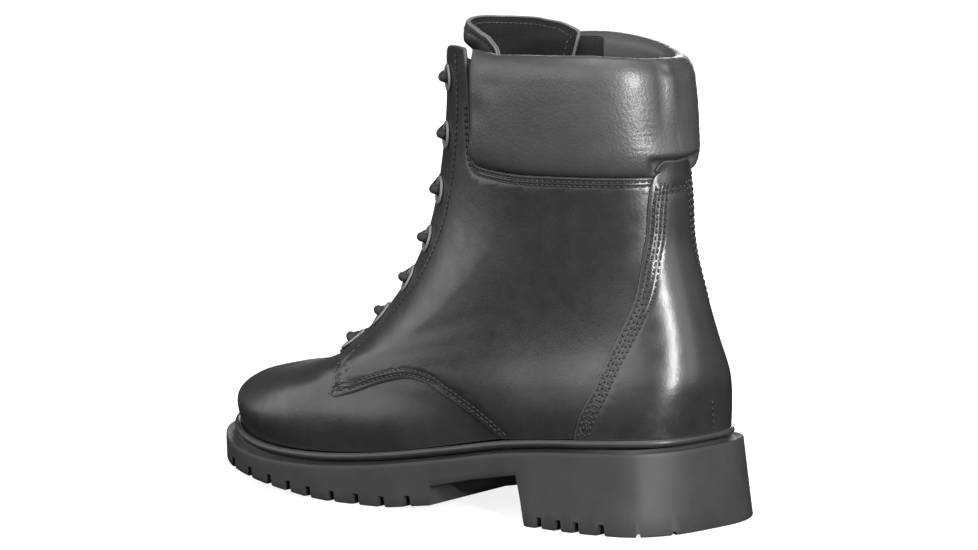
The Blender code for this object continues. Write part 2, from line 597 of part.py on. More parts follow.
def make_tongue():
    side = smooth_line(TONGUE_SIDE, 10, UV_SCALE)
    top = smooth_line([TONGUE_SIDE[-1], *TONGUE_TOP], 10, UV_SCALE)
    edge = np.concatenate([side[:-1], top])
    base = [(u, 0.415) for u in np.linspace(-27, 27, 7)]
    full = corner_line(edge, mirrored(edge[::-1], -1), base)
    trimmed = full * [0.88, 1]
    trimmed[:, 1] = 0.44 + (trimmed[:, 1] - 0.415) * 0.84
    layers = (("tongue", full, 0.0, 1.2, "soft_leather"),
              ("tongue_foam", trimmed, 2.0, 1.9, "foam"),
              ("tongue_lining", full, 5.0, 0.9, "lining"))
    hinge = bpy.data.objects.new("tongue_hinge", None)
    hinge.location = Vector(hinge_place()) * MM
    bpy.context.scene.collection.objects.link(hinge)
    for name, loop, start, thick, finish in layers:
        made = panel(name, loop, lambda u, v: tongue_depth(u, v) - start,
                     lambda u, v: tongue_depth(u, v) - start - thick, finish, rounder=1.0)
        made.parent = hinge
        made.location = -hinge.location
    root = corner_line([(u, 0.335) for u in (-26, -13, 0, 13, 26)], [(26, 0.335), (26, 0.392)],
                       [(u, 0.392) for u in (26, 13, 0, -13, -26)], [(-26, 0.392), (-26, 0.335)])
    deep = -LINING_LOW - LINING - GAP
    panel("tongue_base", root, deep, deep - 1.2, "soft_leather")


def hinge_place():
    """The middle of the line where the tongue bends out of its sewn base."""
    x, _, z = on_last(0.0, HINGE_V, -8.0).ravel()
    return x, 0.0, z


# ---------------------------------------------------------------- eyelets and lace

def eyelet_frame(side, i):
    u, v = side * EYELET_U, EYELET_V[i]
    return last_point(u, v).ravel(), last_normal(u, v).ravel()


def make_eyelets():
    profile = [(BORE_RADIUS, BARREL_LOW), (BARREL_RADIUS, BARREL_LOW), (BARREL_RADIUS, FLANGE_LOW),
               (FLANGE_RADIUS, FLANGE_LOW), (FLANGE_RADIUS - FLANGE_CHAMFER, FLANGE_TOP),
               (BORE_RADIUS, FLANGE_TOP)]
    turns, count = 8, len(profile)
    points = [(r * math.cos(a), r * math.sin(a), h)
              for a in np.arange(turns) * math.tau / turns for r, h in profile]
    faces = [(k * count + i, k * count + (i + 1) % count,
              ((k + 1) % turns) * count + (i + 1) % count, ((k + 1) % turns) * count + i)
             for k in range(turns) for i in range(count)]
    for side, word in ((-1, "lateral"), (1, "medial")):
        for i in range(len(EYELET_V)):
            made = add_mesh(f"eyelet_{word}_{i + 1}", points, faces, "eyelet_metal")
            place, normal = eyelet_frame(side, i)
            made.rotation_mode = "QUATERNION"
            made.rotation_quaternion = Vector(normal).to_track_quat("Z", "Y")
            made.location = Vector(place) * MM


def rounded(points, radius, step=2.2):
    """A path with its corners rounded, as points about a step apart."""
    points = np.asarray(points, float)
    line = [points[0]]
    for before, corner, after in zip(points, points[1:], points[2:]):
        a, b = before - corner, after - corner
        reach_a = min(radius, np.linalg.norm(a) / 2)
        reach_b = min(radius, np.linalg.norm(b) / 2)
        start = corner + a / np.linalg.norm(a) * reach_a
        end = corner + b / np.linalg.norm(b) * reach_b
        sharp = a @ b / (np.linalg.norm(a) * np.linalg.norm(b)) > -0.6
        for t in np.linspace(0, 1, 4 if sharp else 2):
            line.append((1 - t) ** 2 * start + 2 * t * (1 - t) * corner + t**2 * end)
    line.append(points[-1])
    line = np.array(line)
    apart = np.linalg.norm(np.diff(line, axis=0), axis=1) > 0.3
    return line[np.concatenate([[True], apart])]


def strand(side):
    """Half of the lace: from the middle of the bottom bar up, and down behind the facing at its end."""
    ends = [on_last(s * THROAT_U, EYELET_V[0], LACE_IN).ravel() for s in (-1, 1)]
    path = [(ends[0] + ends[1]) / 2 + last_normal(0.0, EYELET_V[0]).ravel() * BAR_RISE]
    top = len(EYELET_V) - 1
    for i in range(top + 1):
        place, normal = eyelet_frame(side, i)
        path += [place + normal * LACE_IN, place + normal * LACE_OUT]
        rise = EYELET_V[i + 1] - EYELET_V[i] if i < top else TUCK_RISE
        v = EYELET_V[i]
        over = on_last(side * (THROAT_U - 2), v + 0.2 * rise, 4.0).ravel()
        under = on_last(-side * (THROAT_U - 2), v + 0.8 * rise, LACE_IN).ravel()
        front = last_normal(0.0, v + 0.5 * rise).ravel()
        order = side * (1 if i % 2 else -1)
        middle = (over + under) / 2 + front * CROSS_OFF * order
        path += [over, middle, under]
        side = -side
    path.append(on_last(side * TUCK_U, TUCK_V, LACE_IN).ravel())
    path += [on_last(side * TAIL_U, v, LACE_IN).ravel() for v in TAIL_V]
    return [np.asarray(p, float) for p in path]


def make_lace():
    lateral, medial = strand(-1), strand(1)
    tube("lace", rounded([*lateral[::-1], *medial[1:]], BEND), LACE_THICK, "lace")
    for before, end in (lateral[-2:], medial[-2:]):
        word = "lateral" if end[1] < 0 else "medial"
        ahead = (end - before) / np.linalg.norm(end - before)
        start = end + ahead * AGLET_GAP
        tube(f"aglet_{word}", [start, start + ahead * AGLET_LONG], AGLET_THICK, "aglet")


def main():
    for old in list(bpy.data.objects):
        bpy.data.objects.remove(old, do_unlink=True)
    make_sole()
    make_vamp()
    for side, word in ((-1, "lateral"), (1, "medial")):
        make_quarter(f"quarter_{word}", side)
        make_facing(f"facing_{word}", side)
        make_quarter_lining(f"quarter_lining_{word}", side)
    make_rear()
    make_collar()
    make_tongue()
    make_eyelets()
    make_lace()


main()
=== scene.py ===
"""The looks of a lace-up leather fire boot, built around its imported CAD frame.

+X runs from the toe to the heel, +Y from the outer (lateral) to the inner (medial) side, +Z up.
Lengths are in millimetres until a mesh is made. The upper's panels are outlines in (u, v) on the
last's surface: u is the angle round the leg, 0 at the front and negative on the lateral side, and
v runs from 0 at the welt to 1 at the top edge. The last and most outlines are the CAD's own.
"""
import math

import bmesh
import bpy
import numpy as np
from mathutils import Matrix, Vector
from mathutils.geometry import delaunay_2d_cdt


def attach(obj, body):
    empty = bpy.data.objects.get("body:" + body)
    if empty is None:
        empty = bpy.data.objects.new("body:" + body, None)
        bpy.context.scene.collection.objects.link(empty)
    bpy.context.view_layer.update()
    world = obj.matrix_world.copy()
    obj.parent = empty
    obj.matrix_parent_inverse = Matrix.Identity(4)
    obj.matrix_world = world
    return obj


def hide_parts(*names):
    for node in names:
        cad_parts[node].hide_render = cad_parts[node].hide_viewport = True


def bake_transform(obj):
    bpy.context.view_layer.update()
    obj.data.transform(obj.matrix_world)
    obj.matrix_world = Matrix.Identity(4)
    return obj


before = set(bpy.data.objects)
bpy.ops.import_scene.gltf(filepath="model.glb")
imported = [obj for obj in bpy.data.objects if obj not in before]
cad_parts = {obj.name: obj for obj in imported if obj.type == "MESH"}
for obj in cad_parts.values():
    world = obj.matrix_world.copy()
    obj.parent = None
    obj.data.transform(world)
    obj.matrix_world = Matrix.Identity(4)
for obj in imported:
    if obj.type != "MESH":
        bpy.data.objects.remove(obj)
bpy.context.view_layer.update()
rng = np.random.default_rng(11)

MM = 0.001

# ---------------------------------------------------------------- the CAD's tables

LEVEL = [0, 0.08, 0.18, 0.30, 0.42, 0.55, 0.70, 0.85, 1.0]
SECTION = {
    "front_x": [-147, -148.5, -138, -109, -75, -44, -20, -7, -3],
    "front_z": [28, 38, 46, 54, 64, 88, 122, 166, 206],
    "back_x": [144.5, 146, 147.5, 144.5, 139.5, 134, 133, 132.5, 132.5],
    "back_z": [42, 53, 66, 83, 101, 121, 144, 173, 204],
    "wide_x": [-60, -60, -52, -30, 0, 35, 62, 74, 76],
    "wide_y": [46, 47.5, 46, 42.5, 39.5, 37.5, 36, 37, 38.5],
    "front_power": [2.3, 2.3, 2.2, 2.1, 1.9, 1.75, 1.75, 1.75, 1.75],
    "back_power": [3.2, 3.0, 2.8, 2.5, 2.35, 2.2, 2.1, 2.1, 2.1],
    "waist": [0.20, 0.17, 0.11, 0.05, 0.01, 0, 0, 0, 0],
    "toe_swing": [9, 9, 9, 7, 3.5, 1, 0, 0, 0],
}
TOP_RISE = 200.0
WAIST_X, WAIST_LENGTH = 40.0, 42.0
WAIST_LATERAL, WAIST_MEDIAL = 0.75, 1.15
FEATHER_FADE_V = 0.42
ROUNDER_BACK, ROUNDER_POWER = 7.0, 1.95
COLLAR_CROWN, CROWN_X, CROWN_REACH = 4.0, 72.0, 62.0
FEATHER_X = [-146, -110, -62, -20, 20, 60, 100, 146]
FEATHER_Z = [28, 22.5, 21, 24, 29.5, 36, 40, 42]

SOLE_LATERAL = [(148.6, 0), (146.3, -20), (136.5, -34.2), (118, -40), (85, -42), (45, -42),
                (10, -45), (-30, -50), (-60, -51.6), (-97, -48.5), (-128, -36), (-146.5, -16.5)]
SOLE_MEDIAL = [(-150.6, 4), (-148.8, 22), (-136, 39.5), (-112, 50), (-85, 52), (-60, 51.5),
               (-25, 48), (10, 42), (45, 40.5), (85, 41.5), (118, 40), (136.5, 34.2), (146.3, 20)]
WELT_LEDGE, WELT_REACH = 1.5, 3.8
INSOLE_INSET, FOOTBED_LOW, FOOTBED_TOP = 9.4, 2.6, 6.6
TREAD_X = [-153, -110, -85, -60, -45, -10, 15.5]
TREAD_Z = [10.5, 6.0, 3.4, 0.8, 0, 0, 3.0]
ARCH_X = [16.5, 40, 69.5]
ARCH_Z = [11.5, 16.6, 21.5]
ARCH_DROP, ARCH_MIDDLE, ARCH_FADE = 5.5, 22.0, 12.0
STEP_X, MEDIAL_LIFT = 16.0, 3.4
BREAST_FOOT_X = 77.0
HEEL_FLARE = 3.3
GROOVE_X = [-118.7, -100.5, -84, -70.8, -57, -43, -28, -13, 2, 85.8, 97.9, 109, 122.8]

THROAT_U, THROAT_FOOT_V, FACING_FOOT_V = 24.0, 0.395, 0.409
COLLAR_FRONT_U = [70, 61, 56.5, 54.5, 53.5]
COLLAR_FRONT_V = [0.792, 0.812, 0.865, 0.93, 1.0]
COLLAR_UNDER_U = [69, 84, 114, 150, 180]
COLLAR_UNDER_V = [0.793, 0.783, 0.771, 0.757, 0.750]
QUARTER_FRONT = [(47, 0.388), (70, 0.33), (80, 0.286), (88.5, 0.232), (90.5, 0.186)]
QUARTER_SEAM = [(91.8, 0.207), (94, 0.236), (97, 0.251), (101, 0.23), (104.5, 0.184), (109.5, 0.1),
                (114, 0.0)]
VAMP_REAR = [(122, 0.0), (117, 0.12), (108, 0.225), (97, 0.285), (84, 0.335), (66, 0.372),
             (47, 0.393), (24, 0.400), (0, 0.402)]
REAR_PANEL = [(134, 0.0), (139, 0.141), (143, 0.258), (148, 0.362), (153.5, 0.453), (157.5, 0.553),
              (159, 0.603), (160, 0.706), (161.5, 0.741), (163.5, 0.76), (169, 0.772)]
FACING_REAR = [(50, 0.99), (52, 0.9), (55, 0.8), (57, 0.7), (58, 0.6), (59, 0.5), (60, 0.422)]
EYELET_U = 34.0
EYELET_V = [0.432, 0.508, 0.590, 0.677, 0.761, 0.849, 0.947]
HOLE_RADIUS = 4.2
LACE_THICK, LACE_OUT, LACE_IN = 4.3, 3.1, -7.7
CROSS_OFF, BEND, BAR_RISE = 2.5, 4.4, 1.6
TAIL_U = 45.5
TAIL_V = [0.94, 0.90, 0.84, 0.78, 0.72, 0.66, 0.60, 0.555]
TUCK_RISE, TUCK_U, TUCK_V = 0.028, 33.0, 0.975
TONGUE_SIDE = [(27, 0.415), (42, 0.45), (50, 0.52), (54, 0.62), (57, 0.78), (60, 0.90)]
TONGUE_MEDIAL = [(67, 0.985), (68, 1.002), (62, 1.024), (50, 1.042), (34, 1.054), (18, 1.061),
                 (0, 1.063)]
TONGUE_LATERAL = [(61, 0.965), (60, 0.985), (53, 1.01), (43, 1.034), (31, 1.051), (17, 1.06),
                  (0, 1.063)]
TONGUE_OUT = -11.2
UV_SCALE = (1.25, 195.0)


# ---------------------------------------------------------------- curves and the last

def through(t, keys, values):
    """A smooth curve through the values at the keys, held flat outside them."""
    keys, values = np.asarray(keys, float), np.asarray(values, float)
    t = np.clip(np.asarray(t, float), keys[0], keys[-1])
    step = np.diff(keys)
    slope = np.diff(values) / step
    bend = np.empty_like(values)
    bend[1:-1] = (slope[:-1] * step[1:] + slope[1:] * step[:-1]) / (step[:-1] + step[1:])
    bend[0] = slope[0] * 1.5 - bend[1] * 0.5
    bend[-1] = slope[-1] * 1.5 - bend[-2] * 0.5
    i = np.clip(np.searchsorted(keys, t, "right") - 1, 0, len(step) - 1)
    x = (t - keys[i]) / step[i]
    start = (2 * x**3 - 3 * x**2 + 1) * values[i] + (x**3 - 2 * x**2 + x) * step[i] * bend[i]
    end = (3 * x**2 - 2 * x**3) * values[i + 1] + (x**3 - x**2) * step[i] * bend[i + 1]
    return start + end


def ease(x):
    x = np.clip(x, 0, 1)
    return x * x * (3 - 2 * x)


def bell(x):
    return np.exp(-np.asarray(x, float) ** 2)


def signed(u):
    """Angles round the leg, brought between -180 and 180 degrees."""
    return (np.asarray(u, float) + 180) % 360 - 180


def feather_z(x):
    return through(x, FEATHER_X, FEATHER_Z)


def last_point(u, v, rounder=0.0):
    """A point of the last. rounder pulls the front in and rounds it, for the tongue."""
    u = signed(u)
    v = np.asarray(v, float) + 0 * u
    at = {name: through(v, LEVEL, values) for name, values in SECTION.items()}
    angle = np.radians(np.abs(u))
    c, s = np.cos(angle), np.sin(angle)
    front = c > 0
    front_x = at["front_x"] + ROUNDER_BACK * rounder
    front_power = at["front_power"] * (1 - rounder) + ROUNDER_POWER * rounder
    power = 2 / np.where(front, front_power, at["back_power"])
    reach = np.where(front, front_x - at["wide_x"], at["back_x"] - at["wide_x"])
    x = at["wide_x"] + reach * np.abs(c) ** power
    y = np.sign(u) * at["wide_y"] * s**power
    pinch = at["waist"] * np.where(u < 0, WAIST_LATERAL, WAIST_MEDIAL)
    y = y * (1 - pinch * np.exp(-(((x - WAIST_X) / WAIST_LENGTH) ** 2)))
    ahead = np.clip((at["wide_x"] - x) / (at["wide_x"] - at["front_x"]), 0, 1)
    y = y + at["toe_swing"] * ahead**2
    along = (x - at["front_x"]) / (at["back_x"] - at["front_x"])
    z = at["front_z"] + (at["back_z"] - at["front_z"]) * along
    toe_x, heel_x = SECTION["front_x"][0], SECTION["back_x"][0]
    ramp = FEATHER_Z[0] + (FEATHER_Z[-1] - FEATHER_Z[0]) * (x - toe_x) / (heel_x - toe_x)
    z = z + (1 - ease(v / FEATHER_FADE_V)) * (feather_z(x) - ramp)
    crown = np.clip(1 - ((x - CROWN_X) / CROWN_REACH) ** 2, 0, 1)
    z = z + COLLAR_CROWN * ease((v - 0.8) / 0.2) * crown + TOP_RISE * np.clip(v - 1, 0, 1)
    return np.stack([x, y, z], -1)


def last_normal(u, v, rounder=0.0):
    """The outward normal, from small steps along u and v."""
    v = np.minimum(np.asarray(v, float), 0.99)
    across = last_point(u + 0.6, v, rounder) - last_point(u - 0.6, v, rounder)
    up = last_point(u, v + 0.005, rounder) - last_point(u, np.maximum(v - 0.005, 0), rounder)
    normal = np.cross(up, across)
    return normal / np.linalg.norm(normal, axis=-1, keepdims=True)


def on_last(u, v, depth, rounder=0.0):
    """The point at a depth from the last: positive outside it, negative inside."""
    u, v = np.asarray(u, float), np.asarray(v, float)
    depth = np.asarray(depth, float)
    return last_point(u, v, rounder) + last_normal(u, v, rounder) * depth[..., None]


def gaps(points):
    """The distances between neighbours on a line."""
    return np.linalg.norm(np.diff(points, axis=0), axis=1)


def run(points):
    """How far along a line each of its points lies."""
    return np.concatenate([[0], np.cumsum(gaps(points))])


def units(vectors):
    return vectors / np.linalg.norm(vectors, axis=1)[:, None]


def smooth_line(points, step, scale=1.0):
    """Points about a step apart on a smooth curve through the given ones."""
    points = np.asarray(points, float)
    along = run(points * np.asarray(scale, float))
    t = np.linspace(0, along[-1], max(2, round(along[-1] / step) + 1))
    return np.stack([through(t, along, points[:, k]) for k in range(points.shape[1])], -1)


def curve(points, step=2.0):
    return smooth_line(points, step, UV_SCALE)


def corner_line(*stretches):
    """Stretches joined end to end into one closed loop, each shared corner once."""
    return np.concatenate([np.asarray(stretch, float)[:-1] for stretch in stretches])


def mirrored(points, side):
    """Lateral (u, v) points, turned to the side asked for: -1 lateral, +1 medial."""
    return np.asarray(points, float) * [side, 1]


def inside(points, loop):
    """Which 2D points lie inside a closed loop."""
    x, y = points[:, 0], points[:, 1]
    odd = np.zeros(len(points), bool)
    for (ax, ay), (bx, by) in zip(loop, np.roll(loop, -1, axis=0)):
        if ay != by:
            odd ^= ((ay > y) != (by > y)) & (x < (bx - ax) * (y - ay) / (by - ay) + ax)
    return odd


def line_distance(points, line, closed=False):
    """How far 2D points lie from a line."""
    a, b = (line, np.roll(line, -1, axis=0)) if closed else (line[:-1], line[1:])
    d = b - a
    nearest = np.full(len(points), 1e9)
    for start in range(0, len(points), 2000):
        part = points[start:start + 2000, None]
        t = ((part - a) * d).sum(-1) / np.maximum((d * d).sum(-1), 1e-12)
        near = a + np.clip(t, 0, 1)[..., None] * d
        nearest[start:start + 2000] = np.linalg.norm(part - near, axis=-1).min(1)
    return nearest


def spread(line, step, closed=False, rounder=0.0):
    """A (u, v) line as points a true step apart on the last."""
    line = np.asarray(line, float)
    if closed:
        line = np.concatenate([line, line[:1]])
    along = run(last_point(*line.T, rounder))
    t = np.linspace(0, along[-1], max(3, round(along[-1] / step) + 1))
    out = np.stack([np.interp(t, along, line[:, k]) for k in (0, 1)], -1)
    return out[:-1] if closed else out


def shifted(line, distance, closed=False, rounder=0.0):
    """A (u, v) line moved to its left in the (u, v) plane by a true distance in millimetres."""
    line = np.asarray(line, float).copy()
    steps = max(1, math.ceil(abs(distance) / 2.0))
    for _ in range(steps):
        u, v = line[:, 0], np.clip(line[:, 1], 0.005, 0.989)
        place = last_point(u, line[:, 1], rounder)
        if closed:
            along = np.roll(place, -1, axis=0) - np.roll(place, 1, axis=0)
        else:
            along = np.gradient(place, axis=0)
        left = units(np.cross(along, last_normal(u, v, rounder)))
        by_u = last_point(u + 0.5, v, rounder) - last_point(u - 0.5, v, rounder)
        by_v = (last_point(u, v + 0.004, rounder) - last_point(u, v - 0.004, rounder)) / 0.008
        a, b, c = (by_u * by_u).sum(1), (by_u * by_v).sum(1), (by_v * by_v).sum(1)
        p, q = (by_u * left).sum(1), (by_v * left).sum(1)
        size = a * c - b * b
        move = np.stack([(c * p - b * q) / size, (a * q - b * p) / size], -1)
        line += move * distance / steps
    return line


def crosses(a, b, c, d):
    """Whether the stretch from a to b crosses the stretch from c to d."""
    def side(p, q, r):
        return (q[0] - p[0]) * (r[1] - p[1]) - (q[1] - p[1]) * (r[0] - p[0])

    return side(a, b, c) * side(a, b, d) <= 0 and side(c, d, a) * side(c, d, b) <= 0


TANGLE_BOW = 0.06     # how far a mended stretch bends inward, as a share of its length


def untangled(loop, window=14):
    """A loop whose small self-crossings at sharp corners are replaced by shallow arcs."""
    loop = loop.copy()
    count = len(loop)
    if count < 4 * window:
        return loop
    for i in list(range(count)) * 2:
        for gap in range(window, 1, -1):
            end = (i + gap + 1) % count
            if crosses(loop[i], loop[(i + 1) % count], loop[(i + gap) % count], loop[end]):
                across = (loop[end] - loop[i]) * UV_SCALE
                bow = np.array([-across[1], across[0]]) * TANGLE_BOW / UV_SCALE
                for k in range(1, gap + 1):
                    share = k / (gap + 1)
                    loop[(i + k) % count] = (loop[i] + (loop[end] - loop[i]) * share
                                             + bow * math.sin(math.pi * share))
                break
    return loop


def turned(loop, left=True):
    """The loop, running anticlockwise in the (u, v) plane, or clockwise."""
    x, y = loop[:, 0], loop[:, 1]
    area = (x * np.roll(y, -1) - np.roll(x, -1) * y).sum()
    return loop if (area > 0) == left else loop[::-1]


# ---------------------------------------------------------------- materials

def maker(tree):
    """A short way to add a node: settings by name, and inputs as values or as sockets to link."""
    def new(kind, inputs=None, **settings):
        made = tree.nodes.new(kind)
        for key, value in settings.items():
            setattr(made, key, value)
        for key, value in (inputs or {}).items():
            if isinstance(value, bpy.types.NodeSocket):
                tree.links.new(value, made.inputs[key])
            else:
                made.inputs[key].default_value = value
        return made
    return new


def tone_of(value):
    """A grey from a number. A colour or a socket stays as it is."""
    return (value, value, value * 1.02, 1) if isinstance(value, float) else value


def surface(name, tone, rough, metal=0.0, coat=0.0, sheen=0.0, specular=0.5):
    """A material with its shader's constant sockets set."""
    made = bpy.data.materials.new(name)
    made.use_nodes = True
    shader = made.node_tree.nodes["Principled BSDF"]
    values = {"Base Color": tone_of(tone), "Roughness": rough, "Metallic": metal,
              "Coat Weight": coat, "Coat Roughness": 0.22, "Sheen Weight": sheen,
              "Sheen Roughness": 0.4, "IOR": 1.5, "Specular IOR Level": specular}
    for key, value in values.items():
        shader.inputs[key].default_value = value
    return made, shader, maker(made.node_tree)


def feed(shader, sockets):
    """Links node outputs to the shader's inputs."""
    for key, socket in sockets.items():
        shader.id_data.links.new(socket, shader.inputs[key])


def tint(new, low, high, factor):
    """A blend of two tones."""
    return new("ShaderNodeMix", {0: factor, 6: tone_of(low), 7: tone_of(high)},
               data_type="RGBA").outputs[2]


def span(new, value, low, high, to_low, to_high):
    """A value carried from one range to another, and held inside it."""
    made = new("ShaderNodeMapRange", {"Value": value, "From Min": low, "From Max": high,
                                      "To Min": to_low, "To Max": to_high})
    return made.outputs["Result"]


def noise(new, place, scale, detail, rough=0.5):
    return new("ShaderNodeTexNoise", {"Vector": place, "Scale": scale, "Detail": detail,
                                      "Roughness": rough}).outputs["Fac"]


def both(new, operation, first, second):
    return new("ShaderNodeMath", {0: first, 1: second}, operation=operation).outputs[0]


def bump(new, height, strength, depth):
    """The normal bent by a height; the depth is in metres."""
    return new("ShaderNodeBump", {"Height": height, "Strength": strength,
                                  "Distance": depth}).outputs["Normal"]


def leather(name, dark, light, rough, grain, pebble, pebble_size=1.0, coat=0.25):
    """Dyed leather: pores and pebbles in the bump, cloudy tone, gloss that comes and goes."""
    made, shader, new = surface(name, dark, rough, coat=coat)
    place = new("ShaderNodeTexCoord").outputs["Object"]
    cells = new("ShaderNodeTexVoronoi", {"Vector": place, "Scale": 1000 / pebble_size,
                                         "Randomness": 1.0}, feature="SMOOTH_F1")
    soft = noise(new, place, 120, 4)
    cloud = noise(new, place, 26, 5, 0.6)
    edge = new("ShaderNodeAttribute", attribute_name="edge").outputs["Fac"]
    height = both(new, "ADD", both(new, "MULTIPLY", cells.outputs["Distance"], pebble),
                  both(new, "MULTIPLY", noise(new, place, 2600, 3), grain))
    height = both(new, "ADD", height, both(new, "MULTIPLY", soft, 1.4))
    normal = bump(new, height, 0.35, 0.00028)
    tone = tint(new, dark, light, span(new, cloud, 0.3, 0.72, 0, 1))
    worn = tint(new, tone, light * 2.2, span(new, edge, 0.0, 0.9, 0.55, 0.0))
    feed(shader, {"Normal": normal, "Coat Normal": normal, "Base Color": worn,
                  "Roughness": span(new, soft, 0.3, 0.7, rough - 0.06, rough + 0.08)})
    return made


def cut_edge(name, tone):
    """The raw edge of a leather panel, a little lighter and fibrous."""
    made, shader, new = surface(name, tone, 0.6)
    fibre = noise(new, new("ShaderNodeTexCoord").outputs["Object"], 1800, 4)
    feed(shader, {"Normal": bump(new, fibre, 0.5, 0.0002),
                  "Base Color": tint(new, tone * 0.7, tone * 1.3, fibre)})
    return made


def textile(name, dark, light, pitch, sheen=0.3, across="XZ"):
    """A knitted or woven lining, its yarns crossing at a pitch in millimetres."""
    made, shader, new = surface(name, dark, 0.95, sheen=sheen, specular=0.12)
    place = new("ShaderNodeTexCoord").outputs["Object"]
    bands = [new("ShaderNodeTexWave", {"Vector": place, "Scale": 1000 / pitch / 6.283 * 2,
                                       "Distortion": 1.5, "Detail Scale": 4},
                 bands_direction=axis).outputs["Fac"] for axis in across]
    height = both(new, "ADD", both(new, "MULTIPLY", *bands), noise(new, place, 900, 4))
    feed(shader, {"Normal": bump(new, height, 0.6, 0.0003),
                  "Base Color": tint(new, dark, light, height)})
    return made


def rubber(name, dark, light, rough, specular=0.4):
    """Moulded rubber: matt, with a fine stipple and faint scuffs."""
    made, shader, new = surface(name, dark, rough, specular=specular)
    place = new("ShaderNodeTexCoord").outputs["Object"]
    scuff = noise(new, place, 70, 7, 0.65)
    feed(shader, {"Normal": bump(new, noise(new, place, 2200, 2), 0.3, 0.00015),
                  "Base Color": tint(new, dark, light, span(new, scuff, 0.3, 0.75, 0, 1)),
                  "Roughness": span(new, scuff, 0.3, 0.7, rough - 0.06, rough + 0.08)})
    return made


def grained(name, dark, light, rough, scale, depth, metal=0.0, stretch=(1, 1, 1)):
    """A plain stock material: board, cork, foam, steel, paint or yarn."""
    made, shader, new = surface(name, dark, rough, metal=metal)
    place = new("ShaderNodeTexCoord").outputs["Object"]
    moved = new("ShaderNodeMapping", {"Vector": place, "Scale": stretch}).outputs["Vector"]
    speck = noise(new, moved, scale, 5)
    feed(shader, {"Normal": bump(new, speck, 0.5, depth),
                  "Base Color": tint(new, dark, light, span(new, speck, 0.3, 0.7, 0, 1)),
                  "Roughness": span(new, speck, 0.3, 0.7, rough - 0.05, rough + 0.05)})
    return made


LEATHER = leather("boot_leather", 0.012, 0.022, 0.34, 0.35, 0.25, 0.9)
SOFT = leather("collar_leather", 0.016, 0.025, 0.42, 0.5, 1.0, 1.1, coat=0.1)
TONGUE = leather("tongue_leather", 0.014, 0.022, 0.46, 0.5, 0.8, 1.1, coat=0.05)
EDGE = cut_edge("leather_edge", 0.035)
PALE_EDGE = cut_edge("tongue_edge", 0.10)
LINING = textile("lining_textile", 0.005, 0.013, 0.9, sheen=0.04)
FOOTBED = textile("footbed_textile", 0.012, 0.035, 1.1, across="XY")
RUBBER = rubber("sole_rubber", 0.025, 0.034, 0.58)
WELT = rubber("welt_rubber", 0.026, 0.036, 0.40, 0.5)
THREAD = grained("thread", 0.007, 0.016, 0.5, 2500, 0.0001)
BRAID = grained("lace_yarn", 0.008, 0.020, 0.7, 1800, 0.0002)
PAINT = grained("eyelet_paint", 0.15, 0.21, 0.38, 900, 0.00004)
PLASTIC = grained("aglet_plastic", 0.012, 0.018, 0.3, 600, 0.00003)
FOAM = grained("foam_cells", (0.16, 0.155, 0.14, 1), (0.24, 0.235, 0.22, 1), 0.95, 1400, 0.0005)
BOARD = grained("insole_fibre", (0.26, 0.19, 0.12, 1), (0.38, 0.29, 0.19, 1), 0.85, 500, 0.0002)
CORK = grained("cork_grain", (0.24, 0.14, 0.07, 1), (0.42, 0.27, 0.15, 1), 0.9, 380, 0.0004)
STEEL = grained("spring_steel", 0.42, 0.5, 0.34, 300, 0.00003, metal=1.0, stretch=(0.05, 1, 1))
STIFF = grained("stiffener_sheet", (0.22, 0.2, 0.17, 1), (0.3, 0.28, 0.24, 1), 0.7, 700, 0.0002)


# ---------------------------------------------------------------- making pieces

def closed_mesh(name, points, faces):
    """A mesh from points in millimetres, its faces turned outward."""
    mesh = bpy.data.meshes.new(name)
    mesh.from_pydata((np.asarray(points, float) * MM).tolist(), [], faces)
    bm = bmesh.new()
    bm.from_mesh(mesh)
    bmesh.ops.recalc_face_normals(bm, faces=bm.faces[:])
    bm.to_mesh(mesh)
    bm.free()
    return mesh


def placed(name, data):
    """An object in the scene."""
    made = bpy.data.objects.new(name, data)
    bpy.context.scene.collection.objects.link(made)
    return made


def piece(name, points, faces, finishes, slot, body="boot", replaces=(), kinds=None, sharp=None,
          edge=None):
    """A closed piece that rides on a body; its slot is not used."""
    mesh = closed_mesh(name, points, faces)
    for finish in finishes:
        mesh.materials.append(finish)
    if kinds is not None:
        mesh.polygons.foreach_set("material_index", np.asarray(kinds, np.int32))
    if edge is not None:
        values = mesh.attributes.new("edge", "FLOAT", "POINT").data
        values.foreach_set("value", edge.astype(np.float32))
    mesh.shade_smooth()
    if sharp:
        mesh.set_sharp_from_angle(angle=math.radians(sharp))
    made = placed(name, mesh)
    if body:
        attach(made, body)
    if replaces:
        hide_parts(*replaces)
    return made


def band(a, b, count):
    """The faces between two rings of points that start at a and b."""
    return [(a + i, a + (i + 1) % count, b + (i + 1) % count, b + i) for i in range(count)]


def triangulated(points, links, apart):
    """Delaunay triangles of 2D points, with the linked edges kept."""
    cdt = delaunay_2d_cdt([Vector(p) for p in points], links, [], 0, apart)
    back = [origin[0] for origin in cdt[3]]
    return np.array([[back[i] for i in t] for t in cdt[2]])


def staggered(low, high, pitch):
    """A lattice of nearly equilateral triangles over a box."""
    rows = [np.zeros((0, 2))]
    for k, y in enumerate(np.arange(low[1], high[1], pitch * 0.866)):
        across = np.arange(low[0] + pitch / 2 * (k % 2), high[0], pitch)
        rows.append(np.stack([across, np.full(len(across), y)], -1))
    return np.concatenate(rows)


